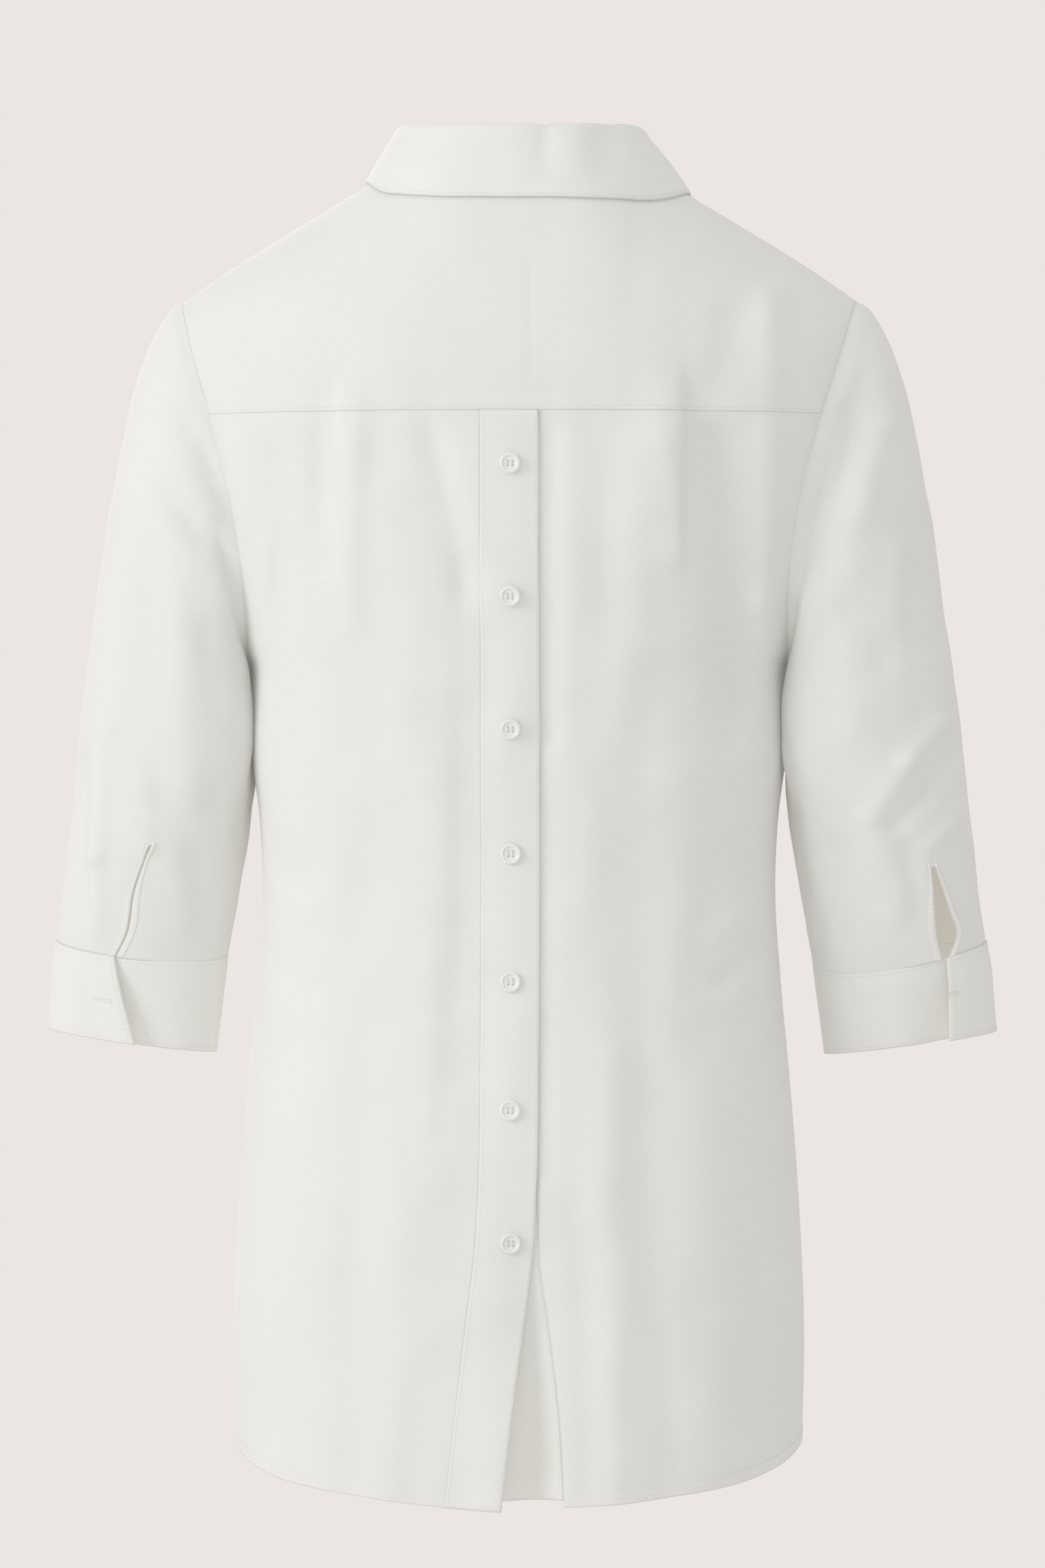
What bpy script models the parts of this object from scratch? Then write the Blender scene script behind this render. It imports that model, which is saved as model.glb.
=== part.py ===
"""A woven blouse with a buttoned back, filled out as if worn, built from its sewn pieces.

Metres, +Z up, the wearer faces +Y and their right side is +X. The origin is the middle of the
neck, level with the points where the collar meets the shoulders. Every cloth piece is a thin wall
between a row-and-column grid of points and the same grid moved out along its normals.
"""

import math

import bpy
import mathutils
import numpy as np

MM = 0.001

# cloth
CLOTH_THICK = 1.2
CUFF_THICK = 1.6
SEAM_GAP = 0.3
LAYER_STEP = CLOTH_THICK + SEAM_GAP

# body levels, in mm from the origin
HEM_Z = -725.0
HEM_SIDE_LIFT = 15.0
HEM_CORNER_LIFT = 9.0
HEM_LIFT_FROM_Z = -430.0
ARMHOLE_TOP_Z = -60.0
ARMHOLE_LOW_Z = -262.0
ARMHOLE_MID_Z = (ARMHOLE_TOP_Z + ARMHOLE_LOW_Z) / 2
ARMHOLE_HALF_HEIGHT = (ARMHOLE_TOP_Z - ARMHOLE_LOW_Z) / 2
ARMHOLE_HALF_DEPTH = 58.0
YOKE_Z = -124.0
YOKE_HEIGHT = 150.0
FRONT_BASE_Z = -128.0
SECTION_POWER = 2.35
EDGE_POWER = 0.85
# between these levels the body's sides change from closed below the arm to open at the armhole
OPEN_FROM_Z = -335.0
OPEN_BY_Z = -175.0
SIDE_POWER = 9.0
ARMHOLE_BLUR = 1.6
# the width that the hem's lift is measured over
HEM_REACH = 158.0

# one row for each level of the body: half width at the side seams, depth of back and front
BODY = np.array(
    [
        (-745.0, 157.8, 117.0, 112.0),
        (-700.0, 159.3, 117.0, 113.0),
        (-650.0, 160.5, 116.0, 112.0),
        (-568.0, 157.5, 112.0, 108.0),
        (-500.0, 152.3, 105.0, 102.0),
        (-440.0, 146.8, 99.0, 98.0),
        (-390.0, 143.8, 96.0, 97.0),
        (-350.0, 145.4, 97.0, 100.0),
        (-310.0, 150.2, 100.0, 105.0),
        (-262.0, 151.0, 104.0, 110.0),
        (-200.0, 151.0, 108.0, 114.0),
        (-124.0, 151.0, 107.0, 109.0),
    ],
    dtype=[("z", float), ("half_width", float), ("back", float), ("front", float)],
)

# the armhole seam as seen from behind: distance from the middle at each level
ARMHOLE = np.array(
    [
        (-262.0, 151.0),
        (-230.0, 150.6),
        (-200.0, 153.0),
        (-180.0, 156.0),
        (-154.0, 161.5),
        (-125.0, 169.5),
        (-97.0, 178.5),
        (-73.0, 186.0),
        (-60.0, 190.0),
    ],
    dtype=[("z", float), ("x", float)],
)

# neckline and shoulder seam
NECK_HALF_WIDTH = 74.0
NECK_BACK = 62.0
NECK_FRONT = 82.0
SHOULDER_TIP = 190.0
SHOULDER_PULL_FROM = 90.0
ARCH = math.radians(82)
# the ridge of the shoulders, carried on across the neck to where back and front would meet
RIDGE = np.array(
    [
        (0.0, 40.0, 10.0),
        (40.0, 34.0, 12.0),
        (74.0, 13.5, 13.5),
        (97.0, -1.0, -1.0),
        (126.0, -18.5, -18.5),
        (160.0, -39.5, -39.5),
        (190.0, -60.0, -60.0),
    ],
    dtype=[("x", float), ("back", float), ("front", float)],
)

# neck slit in the front
SLIT_FOOT_Z = -168.0
SLIT_HALF_TOP = 5.0
SLIT_HALF_FOOT = 0.8

# edges of the back panels beside the buttons, level by level
OPENING = np.array(
    [
        # z, left panel's edge, placket's left and right edges, stand's left and right edges, dent
        (-124.0, -15.0, -16.4, 15.2, -14.5, 14.2, 0.0),
        (-480.0, -15.0, -16.4, 15.2, -14.5, 14.2, 0.0),
        (-540.0, -15.4, -16.9, 14.7, -14.4, 14.3, 0.5),
        (-583.0, -17.6, -19.0, 12.6, -14.2, 15.4, 3.0),
        (-625.0, -22.6, -24.0, 7.4, -13.6, 21.0, 6.5),
        (-672.0, -28.0, -29.4, 1.6, -10.8, 26.8, 9.0),
        (-725.0, -34.0, -35.4, -4.4, -9.0, 30.0, 11.0),
    ],
    dtype=[
        ("z", float),
        ("left_edge", float),
        ("placket_left", float),
        ("placket_right", float),
        ("stand_left", float),
        ("stand_right", float),
        ("dent", float),
    ],
)
STAND_HEM_LIFT = 4.0
DENT_HALF_WIDTH = 17.0

# pleats that start at the yoke seam: the fold's place, the raised side and the trough beside it
PLEATS = np.array(
    [
        (92.3, 1.0, 3.2, 26.0, -5.0, 24.0, -228.0),
        (-93.0, -1.0, 2.6, 30.0, -2.6, 28.0, -235.0),
    ],
    dtype=[
        ("x", float),
        ("side", float),
        ("rise", float),
        ("rise_width", float),
        ("drop", float),
        ("drop_width", float),
        ("end_z", float),
    ],
)
PLEAT_STEP = 3.0
SEAM_CALM = 14.0
PLEAT_AT_SEAM = 0.45

# soft folds of the back: a ridge or a trough along a line seen from behind
BACK_FOLDS = np.array(
    [
        # x0, z0, x1, z1, half width, height
        (140.0, -135.0, 139.0, -230.0, 10.0, 2.6),
        (139.0, -230.0, 131.0, -300.0, 10.0, 2.2),
        (124.0, -150.0, 121.0, -250.0, 10.0, -2.0),
        (117.0, -428.0, 150.0, -409.0, 8.0, -3.2),
        (112.0, -412.0, 148.0, -391.0, 9.0, 2.4),
        (-112.0, -440.0, -148.0, -418.0, 10.0, -2.2),
        (40.0, -320.0, 46.0, -560.0, 15.0, 2.4),
        (66.0, -300.0, 72.0, -600.0, 16.0, -2.6),
        (-42.0, -330.0, -52.0, -640.0, 16.0, 2.6),
        (-74.0, -360.0, -84.0, -700.0, 17.0, -2.8),
        (104.0, -500.0, 112.0, -700.0, 20.0, 3.0),
        (-116.0, -520.0, -124.0, -705.0, 18.0, 2.6),
        (52.0, -600.0, 60.0, -725.0, 14.0, 2.2),
    ],
    dtype=[
        ("x0", float), ("z0", float), ("x1", float), ("z1", float), ("wide", float), ("high", float),
    ],
)
FRONT_FOLDS = np.array(
    [
        (-120.0, -150.0, -112.0, -262.0, 13.0, -2.4),
        (122.0, -140.0, 110.0, -250.0, 13.0, -2.6),
        (-60.0, -240.0, -46.0, -520.0, 17.0, 2.8),
        (58.0, -260.0, 50.0, -560.0, 16.0, 2.4),
        (-96.0, -430.0, -104.0, -700.0, 18.0, -3.0),
        (98.0, -450.0, 112.0, -690.0, 18.0, -2.6),
        (14.0, -480.0, 22.0, -720.0, 16.0, 2.4),
        (-148.0, -395.0, -116.0, -425.0, 9.0, -2.6),
    ],
    dtype=BACK_FOLDS.dtype,
)

# one row for each ring of a sleeve: its outer and inner ends, half depth, middle and how far it
# still follows the curve of the armhole
SLEEVE = np.array(
    [
        (190.0, -60.0, 151.0, -262.0, 58.0, 0.0, 1.0),
        (197.5, -65.5, 154.0, -267.0, 60.0, 0.0, 0.85),
        (207.3, -82.5, 154.2, -272.0, 61.5, 0.0, 0.62),
        (216.3, -107.5, 154.2, -277.0, 61.5, 0.0, 0.45),
        (223.8, -141.0, 153.9, -283.0, 60.0, 0.0, 0.3),
        (230.3, -175.0, 153.7, -291.0, 57.5, 0.0, 0.2),
        (235.3, -208.0, 153.4, -302.0, 55.0, -1.0, 0.1),
        (240.3, -244.0, 153.0, -315.0, 52.5, -2.0, 0.0),
        (245.8, -284.0, 152.2, -332.0, 50.0, -2.0, 0.0),
        (249.8, -317.0, 153.8, -349.0, 47.0, -1.0, 0.0),
        (253.0, -346.0, 156.2, -367.0, 44.0, 1.0, 0.0),
        (256.3, -374.0, 159.7, -387.0, 40.5, 3.0, 0.0),
        (259.8, -400.0, 163.7, -408.0, 36.0, 5.0, 0.0),
        (262.8, -420.0, 167.4, -428.0, 31.5, 7.0, 0.0),
    ],
    dtype=[
        ("outer_x", float), ("outer_z", float), ("inner_x", float), ("inner_z", float),
        ("depth", float), ("mid_y", float), ("bow", float),
    ],
)
CUFF_FOOT = (267.4, -470.5, 174.4, -483.5, 27.0, 9.0, 0.0)
UNDERARM_CLEAR = 2.8
CUFF_SAG = 5.0
RIGHT_SEAM_DROP = 9.0
LEFT_SEAM_DROP = 1.0
CUFF_LAP_DEG = 24.0
# the lap's edge at the cuff's lower edge, in degrees of turn
CUFF_LAP_FOOT = {"left": 96.0, "right": 66.0}
CUFF_LAP_FADE_DEG = 80.0
CUFF_LAP_OUT = 2.6
CUFF_UNDER_IN = -2.4

# slits above the cuffs
SLIT_RING = {"left": 10.3, "right": 10.9}
# down each slit: its middle and half its width, in degrees of turn round the sleeve
SLIT = np.array(
    [
        # share of the way down, left middle, left half, right middle, right half
        (0.0, 91.0, 0.9, 59.5, 0.9),
        (0.4, 83.5, 1.1, 56.5, 3.4),
        (0.7, 82.5, 1.2, 54.5, 5.2),
        (1.0, 76.0, 0.9, 58.5, 1.6),
    ],
    dtype=[
        ("share", float), ("left_turn", float), ("left_half", float), ("right_turn", float),
        ("right_half", float),
    ],
)
BINDING_WIDTH = 5.2
BINDING_CLEAR = 0.4
BINDING_THICK = 1.0
BINDING_RISE = 0.28
BINDING_EDGE_DEG = 0.35
SLEEVE_RADIUS_AT_SLIT = 49.0

# soft folds of the sleeves, as seen from behind, which fade by the seams at top and foot; the front
# of a sleeve has the other sleeve's folds, a little lower
CALM_RINGS_TOP = 1.5
CALM_RINGS_FOOT = 1.2
FOLD_SPREAD = 1.6
FRONT_FOLD_SHARE = 0.8
RIGHT_FOLDS = np.array(
    [
        (205.0, -90.0, 205.0, -127.0, 8.0, 3.0),
        (205.0, -127.0, 193.0, -175.0, 8.0, 3.4),
        (193.0, -175.0, 181.0, -203.0, 8.0, 2.6),
        (184.0, -160.0, 160.0, -188.0, 8.0, -3.6),
        (236.0, -300.0, 200.0, -342.0, 9.0, 2.8),
        (244.0, -316.0, 212.0, -350.0, 8.0, -2.4),
        (254.0, -345.0, 232.0, -363.0, 6.0, 2.2),
        (222.0, -190.0, 205.0, -262.0, 11.0, -2.4),
        (178.0, -230.0, 186.0, -300.0, 11.0, 2.0),
    ],
    dtype=BACK_FOLDS.dtype,
)
LEFT_FOLDS = np.array(
    [
        (-176.0, -137.0, -163.0, -150.0, 6.5, -3.2),
        (-163.0, -150.0, -158.0, -171.0, 6.5, -3.0),
        (-188.0, -172.0, -177.0, -187.0, 6.5, -3.2),
        (-177.0, -187.0, -156.0, -203.0, 6.5, -3.4),
        (-190.0, -152.0, -170.0, -172.0, 7.0, 2.8),
        (-231.0, -300.0, -236.0, -371.0, 7.0, 2.8),
        (-236.0, -371.0, -236.5, -412.0, 7.0, 2.4),
        (-246.0, -320.0, -247.0, -405.0, 7.0, -2.6),
        (-212.0, -210.0, -216.0, -300.0, 12.0, -2.2),
        (-186.0, -240.0, -182.0, -330.0, 11.0, 2.0),
    ],
    dtype=BACK_FOLDS.dtype,
)

# collar
COLLAR_HALF_WIDTH = 66.0
COLLAR_BACK = 58.0
COLLAR_FRONT = 74.0
COLLAR_SIDE_Z = 35.0
COLLAR_BACK_RISE = 0.5
COLLAR_FRONT_DROP = 50.0
COLLAR_END_DEG = 172.0
COLLAR_ROLL = 1.6
# the leaf's edge on the wearer's left: nearer the neck, so a little higher on the shoulder
LEAF_LEFT_SHARE = 0.89
LEAF_LEFT_RISE = 6.4
STAND_FOOT_LIFT = 2.1
STAND_HEAD_DROP = 0.8
LEAF_LIFT = 1.0
LEAF_FALL = 1.14
LEAF_EDGE = np.array(
    [
        (0.0, 0.0, -73.2, -5.5),
        (30.0, 46.0, -67.2, -5.5),
        (60.0, 81.5, -42.0, -4.0),
        (90.0, 96.8, -1.0, 2.2),
        (120.0, 91.0, 41.5, -9.5),
        (150.0, 70.0, 80.0, -36.0),
        (172.0, 50.0, 98.8, -66.0),
    ],
    dtype=[("turn", float), ("x", float), ("y", float), ("z", float)],
)

# buttons
BUTTON_LEVELS = (-153.5, -225.5, -298.0, -366.5, -437.0, -507.0, -579.0)
BUTTON_RADIUS = 5.75
BUTTON_THICK = 2.6
BUTTON_HOLE_RADIUS = 0.65
BUTTON_HOLE_OUT = 1.5
BUTTON_GAP = 0.35
BUTTON_SIDES = 14


def eased(share):
    """0 to 1 with level ends."""
    share = np.clip(share, 0.0, 1.0)
    return share * share * (3.0 - 2.0 * share)


def along(places, values, at):
    """A smooth curve through rising places, straight beyond its ends."""
    places = np.asarray(places, float)
    values = np.asarray(values, float)
    at = np.clip(np.asarray(at, float), places[0], places[-1])
    slope = np.gradient(values, places)
    k = np.clip(np.searchsorted(places, at, side="right") - 1, 0, len(places) - 2)
    run = places[k + 1] - places[k]
    t = (at - places[k]) / run
    return (
        values[k] * (1 + 2 * t) * (1 - t) ** 2
        + slope[k] * run * t * (1 - t) ** 2
        + values[k + 1] * t * t * (3 - 2 * t)
        + slope[k + 1] * run * t * t * (t - 1)
    )


def rising(table, key, value, at):
    """One named column of a table read at some places along another."""
    order = np.argsort(table[key])
    return along(table[key][order], table[value][order], at)


def fold_height(folds, x, z):
    """How far a table of soft folds lifts points seen from behind or in front."""
    total = np.zeros_like(x)
    for fold in folds:
        run_x = fold["x1"] - fold["x0"]
        run_z = fold["z1"] - fold["z0"]
        length2 = run_x * run_x + run_z * run_z
        t = ((x - fold["x0"]) * run_x + (z - fold["z0"]) * run_z) / length2
        near = np.clip(t, 0.0, 1.0)
        off = np.hypot(x - fold["x0"] - near * run_x, z - fold["z0"] - near * run_z)
        total += fold["high"] * np.exp(-((off / fold["wide"]) ** 2))
    return total


def off_seam(x, z):
    """1 over a panel, falling to 0 at its side seam and armhole."""
    return eased((side_edge(z) - np.abs(x)) / SEAM_CALM)


def pleat_height(x, z):
    """Height of the two pleats below the yoke seam."""
    total = np.zeros_like(x)
    for pleat in PLEATS:
        off = (x - pleat["x"]) * pleat["side"]
        down = (YOKE_Z - z) / (YOKE_Z - pleat["end_z"])
        strength = (PLEAT_AT_SEAM + (1 - PLEAT_AT_SEAM) * eased(down * 4)) * (1 - eased(down))
        raised = pleat["rise"] * np.exp(-((off / pleat["rise_width"]) ** 2))
        sunk = pleat["drop"] * np.exp(-((off / pleat["drop_width"]) ** 2))
        shape = np.where(off <= 0, raised, raised + (sunk - raised) * np.clip(off / PLEAT_STEP, 0, 1))
        total += strength * shape
    return total


def armhole_point(turn, facing):
    """The armhole seam: turn 0 at the shoulder, half a turn at the underarm."""
    z = ARMHOLE_MID_Z + ARMHOLE_HALF_HEIGHT * np.cos(turn)
    x = rising(ARMHOLE, "z", "x", z)
    return x, facing * ARMHOLE_HALF_DEPTH * np.sin(turn), z


def side_edge(z):
    """Distance out of a panel's side edge at a level."""
    low = rising(BODY, "z", "half_width", z)
    return np.where(z > ARMHOLE_LOW_Z, rising(ARMHOLE, "z", "x", z), low)


def edge_depth(z, share):
    """Depth of the armhole's edge at a level, blurred more the nearer a point is to the middle."""
    cosine = (z - ARMHOLE_MID_Z) / ARMHOLE_HALF_HEIGHT
    inside = 1 - cosine * cosine
    blur = ARMHOLE_BLUR * (1 - share)
    return ARMHOLE_HALF_DEPTH * np.sqrt((inside + np.sqrt(inside * inside + blur * blur)) / 2)


def wall_depth(x, z, facing):
    """Depth of the body's wall below the yoke, at a distance from the middle and a level."""
    out = side_edge(z)
    full = rising(BODY, "z", "back" if facing < 0 else "front", z)
    share = np.clip(np.abs(x) / out, 0.0, 1.0)
    open_share = eased((z - OPEN_FROM_Z) / (OPEN_BY_Z - OPEN_FROM_Z))
    power = 1 / SECTION_POWER + (EDGE_POWER - 1 / SECTION_POWER) * open_share
    side = ARMHOLE_HALF_DEPTH * open_share
    wall = side + (full - side) * (1 - share**SECTION_POWER) ** power
    return facing * (wall + (edge_depth(z, share) - side) * share**SIDE_POWER)


def inset_edges(grid, facing, first, last):
    """The outermost columns drawn in to leave a seam."""
    for column, ends in ((0, first), (-1, last)):
        if ends:
            grid[:, column, 0] -= np.sign(grid[:, column, 0]) * SEAM_GAP
            grid[:, column, 1] += facing * SEAM_GAP / 2
    return grid


def hem_level(x, level):
    """Levels lifted towards the side seams, most at the hem."""
    share = np.clip((HEM_LIFT_FROM_Z - level) / (HEM_LIFT_FROM_Z - HEM_Z), 0.0, 1.0)
    side = np.clip(np.abs(x) / HEM_REACH, 0.0, 1.0)
    return level + (HEM_SIDE_LIFT * side**1.5 + HEM_CORNER_LIFT * side**12) * share**2


def hung(x, level):
    """Rows of distances and levels with the hem's lift, still ending at the side seams."""
    z = hem_level(x, level)
    scale = side_edge(z) / side_edge(level)
    reach = np.clip(np.abs(x) / side_edge(level), 0.0, 1.0) ** 2
    return x * (1 + (scale - 1) * reach), z


def neck_half(x, deepest):
    """Half of the neck opening's depth at a distance from the middle."""
    return deepest * np.sqrt(np.clip(1 - (x / NECK_HALF_WIDTH) ** 2, 0.0, 1.0))


def upper_wall(top_x, rise, facing, base_z):
    """The wall from a level up over the shoulder, cut off at the neckline."""
    edge_out = float(side_edge(np.array(base_z)))
    base_x = top_x * edge_out / SHOULDER_TIP
    base_y = np.abs(wall_depth(base_x, np.full_like(base_x, base_z), facing))
    ridge = rising(RIDGE, "x", "back" if facing < 0 else "front", np.abs(top_x))
    left_over = neck_half(top_x, NECK_BACK if facing < 0 else NECK_FRONT)
    cut = np.arccos(1 - (1 - math.cos(ARCH)) * (base_y - left_over) / base_y)
    turn = cut * rise
    y = base_y * (1 - (1 - np.cos(turn)) / (1 - math.cos(ARCH)))
    up = np.sin(turn) / math.sin(ARCH)
    z = base_z + (ridge - base_z) * up
    x = base_x + (top_x - base_x) * up
    foot_turn = math.acos((base_z - ARMHOLE_MID_Z) / ARMHOLE_HALF_HEIGHT)
    seam_x, seam_y, seam_z = armhole_point(foot_turn * (1 - rise), facing)
    edge_y = float(np.abs(wall_depth(np.array([edge_out]), np.array([base_z]), facing))[0])
    edge_up = math.sin(ARCH * rise) / math.sin(ARCH)
    arc_x = edge_out + (SHOULDER_TIP - edge_out) * edge_up
    arc_y = edge_y * (1 - (1 - math.cos(ARCH * rise)) / (1 - math.cos(ARCH)))
    arc_z = base_z + (ARMHOLE_TOP_Z - base_z) * edge_up
    pulled = (np.abs(top_x) - SHOULDER_PULL_FROM) / (SHOULDER_TIP - SHOULDER_PULL_FROM)
    pull = np.clip(pulled, 0.0, 1.0) ** 2
    x = x + np.sign(top_x) * (seam_x - arc_x) * pull
    y = y + (abs(seam_y) - arc_y) * pull
    return np.stack([x, facing * y, z + (seam_z - arc_z) * pull], axis=-1)


def spread(inner, outer, shares, out):
    """Distances from the middle, closer together where the wall turns towards the side."""
    first = np.sign(inner) * np.arcsin(np.clip(np.abs(inner) / out, 0, 1) ** (SECTION_POWER / 2))
    last = np.sign(outer) * np.arcsin(np.clip(np.abs(outer) / out, 0, 1) ** (SECTION_POWER / 2))
    turn = first + (last - first) * shares
    return out * np.sign(turn) * np.abs(np.sin(turn)) ** (2 / SECTION_POWER)


def normals(grid, closed, hint):
    """Unit normals of a grid of points, turned to face away from its middle or along a hint."""
    if closed:
        across = np.roll(grid, -1, axis=1) - np.roll(grid, 1, axis=1)
    else:
        across = np.gradient(grid, axis=1)
    down = np.gradient(grid, axis=0)
    n = np.cross(down, across)
    n /= np.maximum(np.linalg.norm(n, axis=2, keepdims=True), 1e-9)
    away = grid - grid.mean(axis=(0, 1)) if hint is None else np.broadcast_to(hint, grid.shape)
    return n if (n * away).sum() > 0 else -n


def material(name, color, roughness):
    made = bpy.data.materials.new(name)
    made.use_nodes = True
    shader = made.node_tree.nodes["Principled BSDF"]
    shader.inputs["Base Color"].default_value = (*color, 1.0)
    shader.inputs["Roughness"].default_value = roughness
    return made


def put(name, points, faces, smooth_count, made):
    mesh = bpy.data.meshes.new(name)
    mesh.from_pydata([tuple(p) for p in points], [], faces)
    mesh.update()
    mesh.materials.append(made)
    for polygon in mesh.polygons:
        polygon.use_smooth = polygon.index < smooth_count
    piece = bpy.data.objects.new(name, mesh)
    bpy.context.collection.objects.link(piece)
    return piece


def seam_weight(grid, first, last):
    """1 at a panel's armhole edge, where its rim stands square to the sleeve's."""
    weight = np.zeros(grid.shape[:2])
    above = eased((grid[..., 2] - ARMHOLE_LOW_Z - 10.0) / 20.0)
    for edge, beside, ends in ((0, 1, first), (-1, -2, last)):
        if ends:
            weight[:, edge] = above[:, edge]
            weight[:, beside] = above[:, beside] / 2
    return weight


def cloth(name, grid, made, thick=CLOTH_THICK, closed=False, keep=None, hint=None, lift=0.0, square=None):
    """A wall of cloth on a grid of points in mm: keep says which cells of the grid are there."""
    n = normals(grid, closed, hint)
    if square is not None:
        n[..., 0] *= 1 - square
        n /= np.linalg.norm(n, axis=2, keepdims=True)
    low = grid + n * lift
    high = low + n * thick
    rows, columns = grid.shape[:2]
    cells = columns if closed else columns - 1
    if keep is None:
        keep = np.ones((rows - 1, cells), bool)
    down = np.gradient(grid, axis=0)
    across = np.roll(grid, -1, axis=1) - np.roll(grid, 1, axis=1)
    if not closed:
        across = np.gradient(grid, axis=1)
    turned = (np.cross(down, across) * n).sum() > 0
    size = rows * columns
    faces = []
    sides = {}
    for r in range(rows - 1):
        for c in range(cells):
            if not keep[r, c]:
                continue
            d = (c + 1) % columns
            corner = (r * columns + c, (r + 1) * columns + c, (r + 1) * columns + d, r * columns + d)
            if not turned:
                corner = corner[::-1]
            faces.append(tuple(k + size for k in corner))
            faces.append(corner[::-1])
            for a, b in zip(corner, corner[1:] + corner[:1], strict=True):
                if (b, a) in sides:
                    del sides[(b, a)]
                else:
                    sides[(a, b)] = True
    count = len(faces)
    for a, b in sides:
        faces.append((b, b + size, a + size, a))
    points = np.concatenate([low.reshape(-1, 3), high.reshape(-1, 3)])
    used = sorted({k for face in faces for k in face})
    place = {k: i for i, k in enumerate(used)}
    faces = [tuple(place[k] for k in face) for face in faces]
    return put(name, points[used] * MM, faces, count, made)


def body_rows():
    """Levels of the rows of a back panel, closer where folds and pleats are."""
    return np.array(
        [-725, -712, -690, -665, -640, -612, -583, -555, -525, -495, -465, -440, -420, -400, -378,
         -355, -330, -305, -282, -264, -246, -226, -208, -190, -172, -156, -142, -131, -124.3]
    )


def opening(level, name):
    """A column of the table of edges beside the buttons at some levels."""
    return rising(OPENING, "z", name, level)


def back_points(x_rows, levels, lift_hem=0.0):
    """Back wall below the yoke at rows of distances from the middle."""
    level = np.repeat(levels[:, None], x_rows.shape[1], axis=1)
    x_rows, z = hung(x_rows, level)
    low = np.clip((HEM_LIFT_FROM_Z - level) / (HEM_LIFT_FROM_Z - HEM_Z), 0, 1)
    z = z + lift_hem * low**6
    y = wall_depth(x_rows, z, -1)
    y = y - (fold_height(BACK_FOLDS, x_rows, z) + pleat_height(x_rows, z)) * off_seam(x_rows, z)
    mid = (opening(level, "placket_right") + opening(level, "stand_right")) / 2
    y = y + opening(level, "dent") * np.exp(-(((x_rows - mid) / DENT_HALF_WIDTH) ** 2))
    return np.stack([x_rows, y, z], axis=-1)


def back_panel(side, made):
    """One half of the back below the yoke."""
    levels = body_rows()
    near = np.array([0, 0.2, 0.42, 0.62, 0.78, 0.9])
    far = np.array([0, 0.05, 0.12, 0.22, 0.34, 0.48, 0.62, 0.76, 0.89, 1.0])
    fold_x = PLEATS["x"][0] if side > 0 else PLEATS["x"][1]
    rows = []
    for level in levels:
        out = float(side_edge(np.array(level)))
        edge = float(opening(level, "stand_right") + SEAM_GAP if side > 0 else opening(level, "left_edge"))
        drift = float(eased((PLEATS["end_z"][1] - level) / 200.0))
        fold = fold_x * (1 - drift) + side * out * 0.62 * drift
        one = edge + (fold - edge) * near
        two = spread(fold, side * out, far, out)
        rows.append(np.concatenate([one, two]))
    grid = inset_edges(back_points(np.array(rows), levels), -1, False, True)
    name = "back_panel_right" if side > 0 else "back_panel_left"
    return cloth(name, grid, made, square=seam_weight(grid, False, True))


def strip_points(left, right, levels, columns, lift_hem=0.0):
    share = np.linspace(0, 1, columns)
    rows = [opening(z, left) + (opening(z, right) - opening(z, left)) * share for z in levels]
    return back_points(np.array(rows), levels, lift_hem)


def yoke_piece(made):
    tops = np.array([0, 16, 32, 46, 58, 66.5, 71.8, 74, 82, 94, 108, 124, 140, 156, 170, 181, SHOULDER_TIP])
    tops = np.concatenate([-tops[:0:-1], tops])
    rise = np.array([0.0, 0.12, 0.25, 0.38, 0.5, 0.62, 0.73, 0.83, 0.92, 1.0])
    rise[0] = SEAM_GAP / YOKE_HEIGHT
    grid = inset_edges(np.array([upper_wall(tops, r, -1, YOKE_Z) for r in rise]), -1, True, True)
    grid[-1, :, 1] -= SEAM_GAP / 2
    return cloth("back_yoke", grid, made, square=seam_weight(grid, True, True))


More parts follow.
